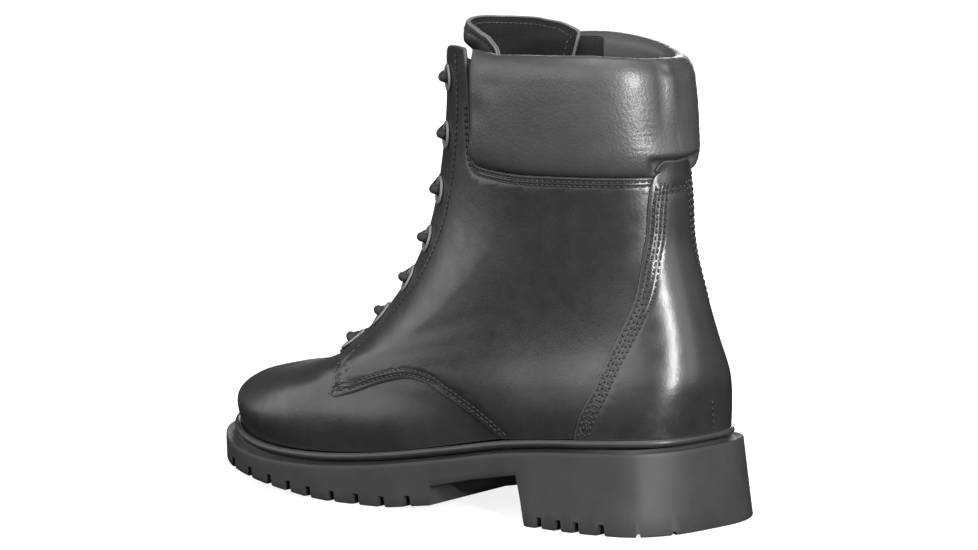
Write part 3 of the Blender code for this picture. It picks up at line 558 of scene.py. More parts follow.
def true_scale(outline, rounder):
    """About how many millimetres a unit of u and of v takes on the last inside an outline."""
    middle = (outline.min(0) + outline.max(0)) / 2
    wide = np.ptp(outline, axis=0)
    u = np.linspace(middle[0] - wide[0] * 0.4, middle[0] + wide[0] * 0.4, 9)
    v = np.clip(np.linspace(middle[1] - wide[1] * 0.4, middle[1] + wide[1] * 0.4, 9), 0, 1)
    along_u = gaps(last_point(u, np.clip(middle[1], 0, 0.95) + 0 * u, rounder)).sum()
    along_v = gaps(last_point(middle[0] + 0 * v, v, rounder)).sum()
    return np.array([along_u / (wide[0] * 0.8), along_v / max(np.ptp(v), 1e-6)])


OUTLINE_STEP, GROOVE_STEP = 1.6, 1.4
GROOVE_HALF, GROOVE_CLEAR = 0.75, 1.7     # a groove's half width, and where other points may start
GUARD = 1.7                               # the face's mesh starts this many bevels from the edge
ROUNDING = 0.29                           # a bevel's middle ring, as a share of the bevel


def groove_points(grooves, dip, borders, scale, rounder):
    """Points that press the grooves in, each with its depth, and the grooves' own lines."""
    points, sink, lines = np.zeros((0, 2)), np.zeros(0), []
    for line in grooves:
        line = spread(line, GROOVE_STEP, rounder=rounder)
        lines.append(line * scale)
        for offset, down in ((0.0, dip), (GROOVE_HALF, 0.0), (-GROOVE_HALF, 0.0)):
            made = shifted(line, offset, rounder=rounder) * scale
            points = np.concatenate([points, made])
            sink = np.concatenate([sink, np.full(len(made), down)])
    if len(points):
        keep = inside(points, borders[0])
        for border in borders:
            keep &= line_distance(points, border, True) > 0.35
        points, sink = points[keep], sink[keep]
    return points, sink, lines


def skin(name, loop, top, thick, finishes, slot, holes=(), rounder=0.0, pitch=2.3, bevel=0.5,
         grooves=(), dip=0.28, **settings):
    """A panel on the last with rounded edges, and shallow grooves where it is stitched.

    The finishes are those of the face, the back and the edge, or of both sides and the edge.
    """
    bevel = min(bevel, thick * 0.4)
    outer = [spread(turned(np.asarray(loop, float)), OUTLINE_STEP, True, rounder)]
    outer += [turned(np.asarray(hole, float), left=False) for hole in holes]
    inner = [untangled(shifted(one, bevel, True, rounder)) for one in outer]
    guard = [untangled(shifted(one, bevel * GUARD, True, rounder)) for one in outer]
    scale = true_scale(outer[0], rounder)
    flat = [one * scale for one in guard]

    def on_panel(points):
        good = inside(points, flat[0])
        for hole in flat[1:]:
            good &= ~inside(points, hole)
        return good

    lattice = staggered(outer[0].min(0) * scale, outer[0].max(0) * scale, pitch)
    lattice = lattice[on_panel(lattice)]
    for one in flat:
        lattice = lattice[line_distance(lattice, one, True) > pitch * 0.5]
    seams, sink, lines = groove_points(grooves, dip, flat, scale, rounder)
    for line in lines:
        lattice = lattice[line_distance(lattice, line) > GROOVE_CLEAR]
    points = np.concatenate([*flat, lattice, seams]) / scale
    sunk = np.concatenate([np.zeros(len(points) - len(sink)), sink])
    links, ring_count = [], 0
    for one in flat:
        links += [(ring_count + i, ring_count + (i + 1) % len(one)) for i in range(len(one))]
        ring_count += len(one)
    triangles = triangulated(points * scale, links, 1e-4)
    triangles = triangles[on_panel((points[triangles] * scale).mean(1))]
    outer_all, inner_all = np.concatenate(outer), np.concatenate(inner)

    def height(at):
        return top(*at.T) if callable(top) else np.full(len(at), float(top))

    def floor(at):
        return height(at) - thick

    rim_uv = outer_all + (inner_all - outer_all) * ROUNDING
    rings = [(inner_all, height(inner_all)), (rim_uv, height(rim_uv) - bevel * ROUNDING),
             (outer_all, height(outer_all) - bevel), (outer_all, floor(outer_all) + bevel),
             (rim_uv, floor(rim_uv) + bevel * ROUNDING), (inner_all, floor(inner_all))]
    layers = [on_last(*points.T, height(points) - sunk, rounder)]
    layers += [on_last(*at.T, deep, rounder) for at, deep in rings]
    layers.append(on_last(*points.T, floor(points), rounder))
    base = len(points)
    starts = [0] + [base + k * ring_count for k in range(len(rings) + 1)]
    faces = triangles.tolist() + (triangles[:, ::-1] + starts[-1]).tolist()
    kinds = [0] * len(triangles) + [1 if len(finishes) > 2 else 0] * len(triangles)
    start = 0
    for one in flat:
        n = len(one)
        for k, (a, b) in enumerate(zip(starts, starts[1:])):
            a, b = a + start, b + start
            faces += [(a + i, b + i, b + (i + 1) % n, a + (i + 1) % n) for i in range(n)]
            kinds += [len(finishes) - 1 if k >= 1 and len(finishes) > 1 else 0] * n
        start += n
    near = line_distance(points * scale, outer[0] * scale, True)
    rim = np.repeat([0.5, 0.15, 0, 0, 0.15, 0.5], ring_count)
    edge = np.concatenate([near, rim, near + 2])
    return piece(name, np.concatenate(layers), faces, finishes, slot, kinds=kinds, edge=edge,
                 **settings)


def sweep(name, rings, finishes, slot, closed_path=False, sharp=None, **settings):
    """A closed profile carried along a path; rings is an array of shape (stations, points, 3)."""
    rings = np.asarray(rings, float)
    stations, count = rings.shape[:2]
    last = stations if closed_path else stations - 1
    faces = []
    for k in range(last):
        faces += band(k * count, ((k + 1) % stations) * count, count)
    if not closed_path:
        faces += [tuple(range(count))[::-1], tuple(range((stations - 1) * count, stations * count))]
    return piece(name, rings.reshape(-1, 3), faces, finishes, slot, sharp=sharp, **settings)


STITCH_PITCH, STITCH_LONG, THREAD_THICK = 2.9, 2.15, 0.85
# A stitch as (place along it, height, share of the thread's thickness).
STITCH = [(-0.5, -0.55, 0.55), (-0.46, -0.2, 0.9), (-0.3, 0.12, 1.0), (0.0, 0.2, 1.0),
          (0.3, 0.12, 1.0), (0.46, -0.2, 0.9), (0.5, -0.55, 0.55)]


def stitches(name, rows, body="boot"):
    """Rows of lockstitches, given as (line, depth, rounder). Each stitch dips in at its ends."""
    points, faces = [], []
    turn = np.arange(6) * math.tau / 6
    for line, depth, rounder in rows:
        line = spread(line, STITCH_PITCH, rounder=rounder)
        place = on_last(*line.T, depth(*line.T), rounder)
        normal = last_normal(*line.T, rounder)
        ahead = units(np.gradient(place, axis=0))
        side = np.cross(normal, ahead)
        for p, n, t, s in zip(place, normal, ahead, side):
            t = t + s * rng.normal(0, 0.05)
            long = STITCH_LONG * (1 + rng.normal(0, 0.04))
            start = len(points)
            for along, up, size in STITCH:
                middle = p + t * along * long + n * up
                round_it = np.cos(turn)[:, None] * s + np.sin(turn)[:, None] * n
                points += (middle + round_it * (THREAD_THICK / 2 * size)).tolist()
            for k in range(len(STITCH) - 1):
                faces += band(start + k * 6, start + k * 6 + 6, 6)
            last = start + (len(STITCH) - 1) * 6
            faces += [tuple(range(start, start + 6))[::-1], tuple(range(last, last + 6))]
    return piece(name, points, faces, [THREAD], None, body=body)


# ---------------------------------------------------------------- camera, stage and lights

def away_from(azimuth, elevation):
    """A direction in degrees: its azimuth runs from -Y towards +X."""
    a, e = math.radians(azimuth), math.radians(elevation)
    return Vector((math.sin(a) * math.cos(e), -math.cos(a) * math.cos(e), math.sin(e)))


AZIMUTH, ELEVATION, ROLL = 46.708, 7.959, -1.92
DISTANCE, TARGET, LENS = 3.500097, (0.006539, 0.005708, 0.100243), 286.73


def place_camera():
    """The photograph's view, as angles about a target on the boot."""
    roll = math.radians(ROLL)
    back = away_from(AZIMUTH, ELEVATION)
    right = Vector((0, 0, 1)).cross(back).normalized()
    up = back.cross(right)
    right, up = (right * math.cos(roll) + up * math.sin(roll),
                 up * math.cos(roll) - right * math.sin(roll))
    data = bpy.data.cameras.new("camera")
    data.lens, data.sensor_width = LENS, 36.0
    camera = placed("camera", data)
    camera.matrix_world = Matrix((right, up, back)).transposed().to_4x4()
    camera.location = Vector(TARGET) + back * DISTANCE
    bpy.context.scene.camera = camera


LAMP_TARGET = (0.03, 0, 0.1)
LAMPS = [  # name, azimuth, elevation, distance, width, height, power
    ("top_box", 20, 78, 1.7, 1.2, 1.2, 18),
    ("rear_strip", 66, 16, 1.5, 0.24, 0.9, 40),
    ("rear_fill", 104, 14, 1.8, 0.9, 1.1, 7),
    ("front_fill", -8, 24, 2.2, 1.7, 1.0, 16),
    ("side_box", -60, 18, 1.9, 1.7, 1.2, 10),
    ("far_rim", -140, 10, 1.6, 0.5, 0.8, 8),
]


def lamp(name, azimuth, elevation, distance, wide, tall, power):
    """A softbox that faces the boot."""
    away = away_from(azimuth, elevation)
    data = bpy.data.lights.new(name, "AREA")
    data.shape = "RECTANGLE"
    data.size, data.size_y, data.energy = wide, tall, power
    made = placed(name, data)
    made.location = Vector(LAMP_TARGET) + away * distance
    made.rotation_mode = "QUATERNION"
    made.rotation_quaternion = away.to_track_quat("Z", "Y")


WORLD_LOW, WORLD_HIGH = 0.05, 0.38
BRIGHT_WAY = (0.728, -0.686, 0.0)     # the studio is brighter on the side that faces this way


def make_stage():
    """A pale studio, a white floor and the lamps."""
    bpy.context.scene.view_settings.view_transform = "Standard"
    world = bpy.data.worlds.new("studio")
    world.use_nodes = True
    new = maker(world.node_tree)
    away = new("ShaderNodeTexCoord").outputs["Generated"]
    height = new("ShaderNodeSeparateXYZ", {"Vector": away}).outputs["Z"]
    bright = new("ShaderNodeVectorMath", {0: away, 1: BRIGHT_WAY}, operation="DOT_PRODUCT")
    share = span(new, bright.outputs["Value"], -0.75, -0.1, 0.22, 1.0)
    glow = new("ShaderNodeMapRange", {"Value": height, "From Min": -0.3, "From Max": 0.12,
                                      "To Min": WORLD_LOW, "To Max": WORLD_HIGH},
               interpolation_type="SMOOTHSTEP").outputs["Result"]
    glow = both(new, "MULTIPLY", glow, share)
    background = world.node_tree.nodes["Background"]
    background.inputs["Color"].default_value = (1, 1, 1, 1)
    world.node_tree.links.new(glow, background.inputs["Strength"])
    bpy.context.scene.world = world
    made, shader, _ = surface("floor_paper", 0.5, 0.9, specular=0.0)
    shader.inputs["Emission Color"].default_value = (1, 1, 1, 1)
    shader.inputs["Emission Strength"].default_value = 0.85
    mesh = bpy.data.meshes.new("floor")
    corners = [(-30, -30, 0), (30, -30, 0), (30, 30, 0), (-30, 30, 0)]
    mesh.from_pydata(corners, [], [(0, 1, 2, 3)])
    mesh.materials.append(made)
    floor = placed("floor", mesh)
    floor.location.z = -0.0004
    floor.visible_diffuse = False
    floor.visible_glossy = False
    for settings in LAMPS:
        lamp(*settings)


# ---------------------------------------------------------------- the sole

def sole_loop(step):
    around = SOLE_LATERAL + SOLE_MEDIAL
    return smooth_line([*around, around[0]], step)[:-1]


def inward(loop):
    """Unit directions into a closed loop that runs clockwise seen from above."""
    along = np.roll(loop, -1, axis=0) - np.roll(loop, 1, axis=0)
    return units(np.stack([along[:, 1], -along[:, 0]], -1))


def feather_loop(inset, step):
    u = np.arange(0, 360, 4.0)
    ring = on_last(u, np.zeros(len(u)), np.full(len(u), -float(inset)))[:, :2]
    return smooth_line(np.concatenate([ring, ring[:1]]), step)[:-1]


def welt_loop(step):
    """The welt's edge: round the feather edge, but not past the outsole."""
    ring, edge = feather_loop(-WELT_REACH, step), sole_loop(2.0)
    nearest = np.linalg.norm(ring[:, None] - edge, axis=-1).argmin(1)
    into = inward(edge)[nearest]
    depth = ((ring - edge[nearest]) * into).sum(1)
    return ring + into * np.maximum(WELT_LEDGE - depth, 0)[:, None]


def arch_drop(y):
    """How much lower the middle of the arch lies than its sides."""
    return ARCH_DROP * (1 - ease((np.abs(y) - ARCH_MIDDLE) / ARCH_FADE))


def tread(x, y):
    """The height of the tread's face."""
    arch = np.interp(x, ARCH_X, ARCH_Z) - arch_drop(y)
    lift = MEDIAL_LIFT * np.clip((y + 45) / 70, 0, 1) * ease((x + 22) / 36)
    z = np.where(x < STEP_X, np.interp(x, TREAD_X, TREAD_Z) + lift, arch)
    return np.where(x > (ARCH_X[-1] + BREAST_FOOT_X) / 2, 0.0, z)


def filled(points, loops_count, z_at, lattice, links):
    """Triangles of a flat region given by its border points, inner points and crease links."""
    border = points[:loops_count, :2]
    inner = lattice[inside(lattice, border) & (line_distance(lattice, border, True) > 1.2)]
    everything = np.concatenate([border, inner])
    edges = [(i, (i + 1) % loops_count) for i in range(loops_count)]
    for column in links:
        at_border = np.where(np.abs(border[:, 0] - column) < 1e-6)[0]
        at_inner = np.where(np.abs(inner[:, 0] - column) < 1e-6)[0] + loops_count
        chain = sorted([*at_border, *at_inner], key=lambda i: everything[i, 1])
        edges += list(zip(chain, chain[1:]))
    triangles = triangulated(everything, edges, 1e-5)
    triangles = triangles[inside(everything[triangles].mean(1), border)]
    return triangles, np.column_stack([inner, z_at(*inner.T)])


def slab(name, rings, top_z, low_z, finishes, slot, columns=(), pitch=6.0, **settings):
    """A closed slab from rings that run from its top over the edge to its underside."""
    count = len(rings[0])
    points, faces = list(np.concatenate(rings)), []
    for k in range(len(rings) - 1):
        faces += band(k * count, (k + 1) * count, count)
    low, high = rings[-1][:, :2].min(0), rings[-1][:, :2].max(0)
    xs = np.concatenate([np.arange(low[0], high[0], pitch), columns])
    lattice = np.array([(x, y) for x in xs for y in np.arange(low[1], high[1], pitch * 0.6)])
    bottom = (len(rings) - 1) * count
    for ring, start, z_at, links in ((rings[0], 0, top_z, ()), (rings[-1], bottom, low_z, columns)):
        triangles, inner = filled(ring, count, z_at, lattice, links)
        offset = len(points)
        points += list(inner)
        faces += [tuple(start + i if i < count else offset + i - count for i in t)
                  for t in triangles]
    return piece(name, np.array(points), faces, finishes, slot, **settings)


STEPS = (TREAD_X[-1], ARCH_X[0], ARCH_X[-1], BREAST_FOOT_X)
# The outsole's upper edge as (inset, height over the feather edge): its bed, a lip and a groove.
OUTSOLE_EDGE = [(13, -4.4), (6.0, -4.4), (5.2, -5.6), (3.8, -6.3), (3.0, -6.3), (2.4, -6.0),
                (0.7, -5.5), (0.3, -5.75), (0.08, -6.4), (0, -7.4)]


def sole_under(x, y):
    """The tread's height, with the slanting breast of the heel."""
    z = tread(x, y)
    side = ARCH_Z[-1] - arch_drop(y)
    share = np.clip((x - ARCH_X[-1]) / (BREAST_FOOT_X - ARCH_X[-1]), 0, 1)
    return np.where((x >= ARCH_X[-1]) & (x <= BREAST_FOOT_X), side * (1 - share), z)


def with_steps(loop):
    """The outline with a point wherever it crosses one of the steps in the tread."""
    out = []
    for a, b in zip(loop, np.roll(loop, -1, axis=0)):
        out.append(a)
        cuts = sorted(((x - a[0]) / (b[0] - a[0]), x) for x in STEPS
                      if (a[0] - x) * (b[0] - x) < 0)
        out += [np.array([x, a[1] + (b[1] - a[1]) * t]) for t, x in cuts]
    return np.array(out)


def make_outsole():
    edge = with_steps(sole_loop(3.0))
    into = inward(edge)
    exact = np.isin(edge[:, 0], STEPS)

    def ring(inset, height=None, flare=0.0, lift=0.0):
        at = edge + into * inset
        at[exact, 0] = edge[exact, 0]
        spread_y = HEEL_FLARE * ease((at[:, 0] - ARCH_X[-1]) / 10) * flare
        if height is None:
            z = sole_under(*at.T) + lift
        else:
            z = feather_z(at[:, 0]) + height
        back = HEEL_FLARE * 0.35 * flare * ease((at[:, 0] - 120) / 26)
        y = at[:, 1] + np.sign(at[:, 1]) * spread_y * np.minimum(np.abs(at[:, 1]) / 20, 1)
        return np.column_stack([at[:, 0] + back, y, z])

    rings = [ring(inset, height) for inset, height in OUTSOLE_EDGE]
    top, low = rings[-1], ring(0, lift=0.9, flare=1.0)
    rings += [top + (low - top) * share for share in (0.25, 0.5, 0.75)]
    rings += [low, ring(0.2, lift=0.35, flare=1.0), ring(0.75, lift=0.0, flare=1.0)]
    made = slab("outsole_moulded", rings, lambda x, y: feather_z(x) + OUTSOLE_EDGE[0][1],
                sole_under, [RUBBER], "rubber", columns=STEPS, replaces=["outsole"], sharp=38)
    cut_tread(made)


def channel(path, low_wide, high_wide, deep, lean=0.0):
    """A channel into the tread, as a closed solid that narrows upward along a path."""
    path = np.asarray(path, float)
    along = np.gradient(path, axis=0)
    side = np.stack([-along[:, 1], along[:, 0]], -1) / np.linalg.norm(along, axis=1)[:, None]
    z = sole_under(*path.T)
    below = 2.0
    grow = (low_wide - high_wide) / deep * below
    points = []
    for p, s, base in zip(path, side, z):
        for across, height in ((-(low_wide + grow) / 2, -below), ((low_wide + grow) / 2, -below),
                               (high_wide / 2 + lean, deep), (-high_wide / 2 + lean, deep)):
            points.append((*(p + s * across), base + height))
    n = len(path)
    faces = [(0, 1, 2, 3), tuple(4 * (n - 1) + i for i in (3, 2, 1, 0))]
    for k in range(n - 1):
        faces += [(4 * k + i, 4 * k + 4 + i, 4 * k + 4 + (i + 1) % 4, 4 * k + (i + 1) % 4)
                  for i in range(4)]
    return points, faces


def cutter(name, parts):
    """Several closed solids in one object, to cut with."""
    points, faces = [], []
    for more, sides in parts:
        start = len(points)
        points += more
        faces += [tuple(start + i for i in side) for side in sides]
    return placed(name, closed_mesh(name, points, faces))


NOTCH_LOW, NOTCH_HIGH, NOTCH_DEEP = 5.0, 3.2, 5.0
NICK_X = [137.0, 146.0]


def cut_tread(outsole):
    """Notches along the edge, nicks at the heel, channels round the inside, and chevrons."""
    edge = sole_loop(1.5)
    into = inward(edge)

    def nearest(x, side, middle):
        on_side = (edge[:, 1] > middle) == (side > 0)
        return np.where(on_side, np.abs(edge[:, 0] - x), 1e9).argmin()

    notches, nicks = [], []
    for x in GROOVE_X:
        for side in (-1, 1):
            near = nearest(x, side, 4)
            aim = into[near] * [0.35, 1]
            aim /= np.linalg.norm(aim)
            path = edge[near] + aim * np.linspace(-7, 15.5, 7)[:, None]
            notches.append(channel(path, NOTCH_LOW, NOTCH_HIGH, NOTCH_DEEP, lean=0.35 * side))
    for x in NICK_X:
        for side in (-1, 1):
            near = nearest(x, side, 2)
            path = edge[near] + into[near] * np.linspace(-7, 6, 5)[:, None]
            nicks.append(channel(path, 2.2, 1.4, 1.7))
    ring = sole_loop(3.0)
    deeper = ring + inward(ring) * 16.0
    around = []
    for low, high in ((-200, 8), (86, 200)):
        keep = (deeper[:, 0] > low) & (deeper[:, 0] < high)
        first = np.where(keep & ~np.roll(keep, 1))[0]
        order = np.roll(np.arange(len(deeper)), -first[0])
        path = deeper[order][keep[order]]
        around.append(channel(path, 4.2, 3.2, 4.0))
    chevrons = [(x, 7.0, 2.5, 17.0) for x in np.arange(-108, 2, 15.5)]
    chevrons += [(x, -4.0, -1.5, 14.0) for x in (102, 114, 126)]
    middle = []
    for x, tip, bend, half in chevrons:
        arms = [(x + tip, -half), (x + bend, -half / 2), (x, 0), (x + bend, half / 2),
                (x + tip, half)]
        middle.append(channel(smooth_line(arms, 4.0), 4.0, 3.0, 3.6))
    tools = [cutter(f"tread_tool_{k}", parts)
             for k, parts in enumerate((notches, nicks, around, middle))]
    for tool in tools:
        cut = outsole.modifiers.new("tread", "BOOLEAN")
        cut.operation, cut.object, cut.solver = "DIFFERENCE", tool, "MANIFOLD"
    bpy.context.view_layer.update()
    whole = outsole.evaluated_get(bpy.context.evaluated_depsgraph_get())
    done = bpy.data.meshes.new_from_object(whole)
    outsole.modifiers.clear()
    outsole.data = done
    done.shade_smooth()
    done.set_sharp_from_angle(angle=math.radians(32))
    for tool in tools:
        bpy.data.objects.remove(tool, do_unlink=True)


# The welt's section, as (inset, height over the feather edge).
WELT_PROFILE = [(9.5, -0.9), (4.6, -0.9), (4.0, -1.5), (3.5, -1.1), (2.9, -0.45), (2.0, -0.1),
                (1.1, -0.3), (0.45, -0.95), (0.2, -1.75), (0.45, -2.6), (1.1, -3.2), (2.0, -3.5),
                (2.6, -3.85), (9.5, -3.85)]
FOOTBED_CUP = 1.6     # how far the footbed's rim rises round the foot


def make_welt():
    """The welt: a round bead that stands out beside the upper, on a flat flange under it."""
    edge = welt_loop(2.0)
    into = inward(edge)
    rings = [np.column_stack([edge + into * inset, feather_z(edge[:, 0]) + height])
             for inset, height in WELT_PROFILE]
    sweep("welt_bead", np.stack(rings, 1), [WELT], "rubber", closed_path=True, replaces=["welt"])


def make_footbed():
    edge = feather_loop(INSOLE_INSET, 3.0)
    into = inward(edge)

    def ring(inset, height):
        at = edge + into * inset
        return np.column_stack([at, feather_z(at[:, 0]) + height])

    rim = [(9, 0.0), (4, 0.3), (1.6, FOOTBED_CUP * 0.7), (0.7, FOOTBED_CUP),
           (0.1, FOOTBED_CUP * 0.6), (0, 0.0)]
    rings = [ring(inset, FOOTBED_TOP + rise) for inset, rise in rim]
    rings += [ring(0, FOOTBED_LOW + 0.6), ring(0.6, FOOTBED_LOW)]
    slab("footbed_cover", rings, lambda x, y: feather_z(x) + FOOTBED_TOP,
         lambda x, y: feather_z(x) + FOOTBED_LOW, [FOOTBED], "foam", replaces=["footbed"])


# ---------------------------------------------------------------- the upper

def hole_loops(side):
    """The eyelet holes of one side, round on the last."""
    loops = []
    for v in EYELET_V:
        u = side * EYELET_U
        across = (last_point(u + 0.5, v) - last_point(u - 0.5, v)).ravel()
        up = (last_point(u, v + 0.005) - last_point(u, v - 0.005)).ravel() / 0.01
        basis = np.stack([across, up], -1)
        e1 = across / np.linalg.norm(across)
        e2 = up - e1 * (up @ e1)
        e2 /= np.linalg.norm(e2)
        ring = []
        for angle in np.arange(20) * math.tau / 20:
            move = HOLE_RADIUS * (math.cos(angle) * e1 + math.sin(angle) * e2)
            du, dv = np.linalg.lstsq(basis, move, rcond=None)[0]
            ring.append((u + du, v + dv))
        loops.append(np.array(ring))
    return loops


def collar_foot(u):
    """Where the collar's lower edge lies."""
    return through(np.abs(signed(u)), COLLAR_UNDER_U, COLLAR_UNDER_V)


EDGE_RISE = 0.007     # the quarter reaches up over the foot of the collar
FRONT_EDGE = curve([(THROAT_U, THROAT_FOOT_V), *QUARTER_FRONT])
SEAM_EDGE = curve([QUARTER_FRONT[-1], *QUARTER_SEAM])
VAMP_BACK = smooth_line(VAMP_REAR, 4.0, UV_SCALE)
TOP_EDGE = np.array([(u, collar_foot(u) + EDGE_RISE) for u in np.linspace(170, 70, 60)])
GAP_EDGE = curve([(70, float(collar_foot(70)) + EDGE_RISE),
                  *[(u + 1.4, v) for u, v in zip(COLLAR_FRONT_U[1:-1], COLLAR_FRONT_V[1:-1])],
                  (COLLAR_FRONT_U[-1] + 0.4, COLLAR_FRONT_V[-1])])
VAMP_TOP = -1.95      # the vamp and the facings lie under the quarters
SKIVE, SKIVE_WIDE = 0.75, 6.0
THICK, THIN, CLOTH = 1.8, 1.4, 1.0     # the panels' leather, the strips' and the rear's, the lining
SEAM_ROWS, TOP_ROWS, REAR_ROWS = (1.9, 4.1), (1.9, 3.9), (2.2, 4.0, 5.8, 7.6)
ROW_START_V = 0.012     # stitch rows stop short of the welt


def away(u, v, line):
    """Roughly how far points lie from a line of the lateral or medial side, in millimetres."""
    at = np.stack([np.abs(u), v], -1) * UV_SCALE
    return line_distance(at, line * UV_SCALE)


def beyond(line, others, least):
    """The part of a row that keeps a distance from other edges."""
    at = np.stack([np.abs(line[:, 0]), line[:, 1]], -1) * UV_SCALE
    keep = line[:, 1] > ROW_START_V
    for other in others:
        keep &= line_distance(at, other * UV_SCALE) > least
    return line[keep]


def quarter_top(u, v):
    """The quarter's outer face: skived to its edge over the vamp, with faint flex creases."""
    edge = np.concatenate([FRONT_EDGE, SEAM_EDGE])
    thin = -SKIVE * (1 - ease(away(u, v, edge) / SKIVE_WIDE))
    ankle = bell((v - 0.40) / 0.11) * bell((np.abs(u) - 78) / 26)
    ripple = np.sin(v * 195 / 2.9 + 1.4 * np.sin(u * 0.13)) * 0.07
    soft = np.sin(u * 0.09 + 1.1) * np.sin(v * 11 + 0.7) * 0.22 * ease((v - 0.08) / 0.1)
    return thin + ankle * ripple + soft


def quarter_rows(side):
    """The stitch rows of a quarter, inward from its edges."""
    rows = []
    for distance in SEAM_ROWS:
        seam = shifted(mirrored(SEAM_EDGE, side), distance * side)
        rows.append(beyond(seam, [FRONT_EDGE[-40:]], distance - 0.3))
        front = shifted(mirrored(FRONT_EDGE, side), distance * side)
        rows.append(beyond(front, [SEAM_EDGE[:14]], distance - 0.3))
    top = np.concatenate([TOP_EDGE[:-1], GAP_EDGE[GAP_EDGE[:, 1] < 0.90]])
    for distance in TOP_ROWS:
        row = shifted(mirrored(top, side), distance * side)
        rows.append(row[np.abs(row[:, 0]) < 163])
    facing = [(45.5, 0.985), (46.5, 0.9), (47.2, 0.8), (48, 0.7), (49.5, 0.6), (52, 0.5),
              (57, 0.425), (70, 0.362), (86, 0.292)]
    rows.append(beyond(mirrored(curve(facing), side), [FRONT_EDGE], 5.6))
    return rows


def sewn(name, rows, top, rounder=0.0, body="boot", sunk=0.22):
    """Stitches along rows, pressed into a face."""
    return stitches(name, [(row, lambda u, v: top(u, v) - sunk, rounder) for row in rows], body)


def make_quarter(word, side):
    throat = [(THROAT_U, 0.955), (THROAT_U, 0.8), (THROAT_U, 0.6), (THROAT_U, THROAT_FOOT_V)]
    feather = [(u, 0.0) for u in np.linspace(QUARTER_SEAM[-1][0], 144, 20)]
    rear = [(u + 8, v) for u, v in REAR_PANEL[:-2]]
    rear[0] = feather[-1]
    under = [(u, collar_foot(u) + EDGE_RISE) for u in np.linspace(rear[-1][0], 70, 60)]
    rear[-1] = under[0]
    top = [GAP_EDGE[-1], (44, 1.005), (37, 1.005), (30, 0.997), (26, 0.983), (THROAT_U, 0.955)]
    loop = corner_line(curve(throat), FRONT_EDGE, SEAM_EDGE, feather, curve(rear), under,
                       GAP_EDGE, curve(top))
    rows = quarter_rows(side)
    skin(f"quarter_{word}_panel", mirrored(loop, side), quarter_top, THICK, [LEATHER, EDGE],
         "leather", hole_loops(side), grooves=rows, replaces=[f"quarter_{word}"])
    sewn(f"quarter_{word}_stitching", rows, quarter_top)


def make_facing(word, side):
    foot = FACING_FOOT_V - 0.009
    front = [(THROAT_U + 0.8, 0.95), (THROAT_U + 0.8, 0.7), (THROAT_U + 0.8, foot)]
    rear = curve(FACING_REAR)[::-1]
    loop = corner_line(curve(front), [front[-1], (42, foot), rear[0]], rear,
                       curve([rear[-1], (40, 0.998), (32, 0.992), (27, 0.978), front[0]]))
    skin(f"facing_{word}_strip", mirrored(loop, side), VAMP_TOP, THIN, [TONGUE, EDGE],
         "soft_leather", hole_loops(side), replaces=[f"facing_{word}"])


LINING_LOW, LINING_HIGH = 5.7, 2.6


def lining_depth(u, v):
    """The lining steps inward low down, where the vamp and the stiffeners lie behind it."""
    return -LINING_HIGH - (LINING_LOW - LINING_HIGH) * (1 - ease((v - 0.44) / 0.10))


def make_quarter_lining(word, side):
    front = smooth_line([(u + 1.5, v) for u, v in FACING_REAR if v < 0.72], 4, UV_SCALE)
    foot = [(front[-1][0], front[-1][1]), (84, 0.37), (100, 0.33), (110, 0.22), (118, 0.1),
            (121, 0.0)]
    base = [(u, 0.0) for u in np.linspace(121, 178, 20)]
    back = [(178, v) for v in np.linspace(0, 0.73, 30)]
    top = [(u, collar_foot(u) - 0.02) for u in np.linspace(178, 66, 40)]
    loop = corner_line(front, curve(foot), base, back, top, [top[-1], front[0]])
    skin(f"quarter_{word}_cloth", mirrored(loop, side), lining_depth, CLOTH, [LINING], "lining",
         pitch=3.5, replaces=[f"quarter_lining_{word}"])


def vamp_top(u, v):
    """The vamp's outer face: it slips under the quarters, and creases where the toes bend."""
    rise = ease((away(u, v, VAMP_BACK) - 13) / 16)
    flex = bell((v - 0.235) / 0.07) * bell(np.abs(u) / 60)
    swell = 1.7 * bell((v - 0.2) / 0.09) * bell(u / 48)
    crease = np.sin(v * 195 / 3.6 + 0.8 * np.sin(u * 0.11)) * 0.14
    return VAMP_TOP * (1 - rise) + flex * crease * rise + swell


def make_vamp():
    rear = curve(VAMP_REAR)
    feather = [(u, 0.0) for u in np.linspace(-122, 122, 160)]
    loop = corner_line(rear, mirrored(rear[::-1], -1), feather)
    skin("vamp_panel", loop, vamp_top, THICK, [LEATHER, EDGE], "leather", replaces=["vamp"])
    inner = curve([(119, 0.0), (116, 0.1), (107.5, 0.205), (97, 0.262), (84, 0.315), (66, 0.352),
                   (47, 0.372), (24, 0.382), (0, 0.384)])
    base = [(u, 0.0) for u in np.linspace(-119, 119, 100)]
    skin("vamp_cloth", corner_line(inner, mirrored(inner[::-1], -1), base), -LINING_LOW, CLOTH,
         [LINING], "lining", pitch=4.0, replaces=["vamp_lining"])


REAR_EDGE = curve(REAR_PANEL)
REAR_TOP = 2.2


def rear_top(u, v):
    """The rear panel's outer face, skived to its front edge."""
    side = np.abs(signed(u))
    near = away(side, v, REAR_EDGE)
    soft = 0.3 * np.sin(v * 9 + 0.5) * bell((side - 180) / 30)
    return REAR_TOP - 0.95 * (1 - ease(near / 7)) + soft * ease(v / 0.1)


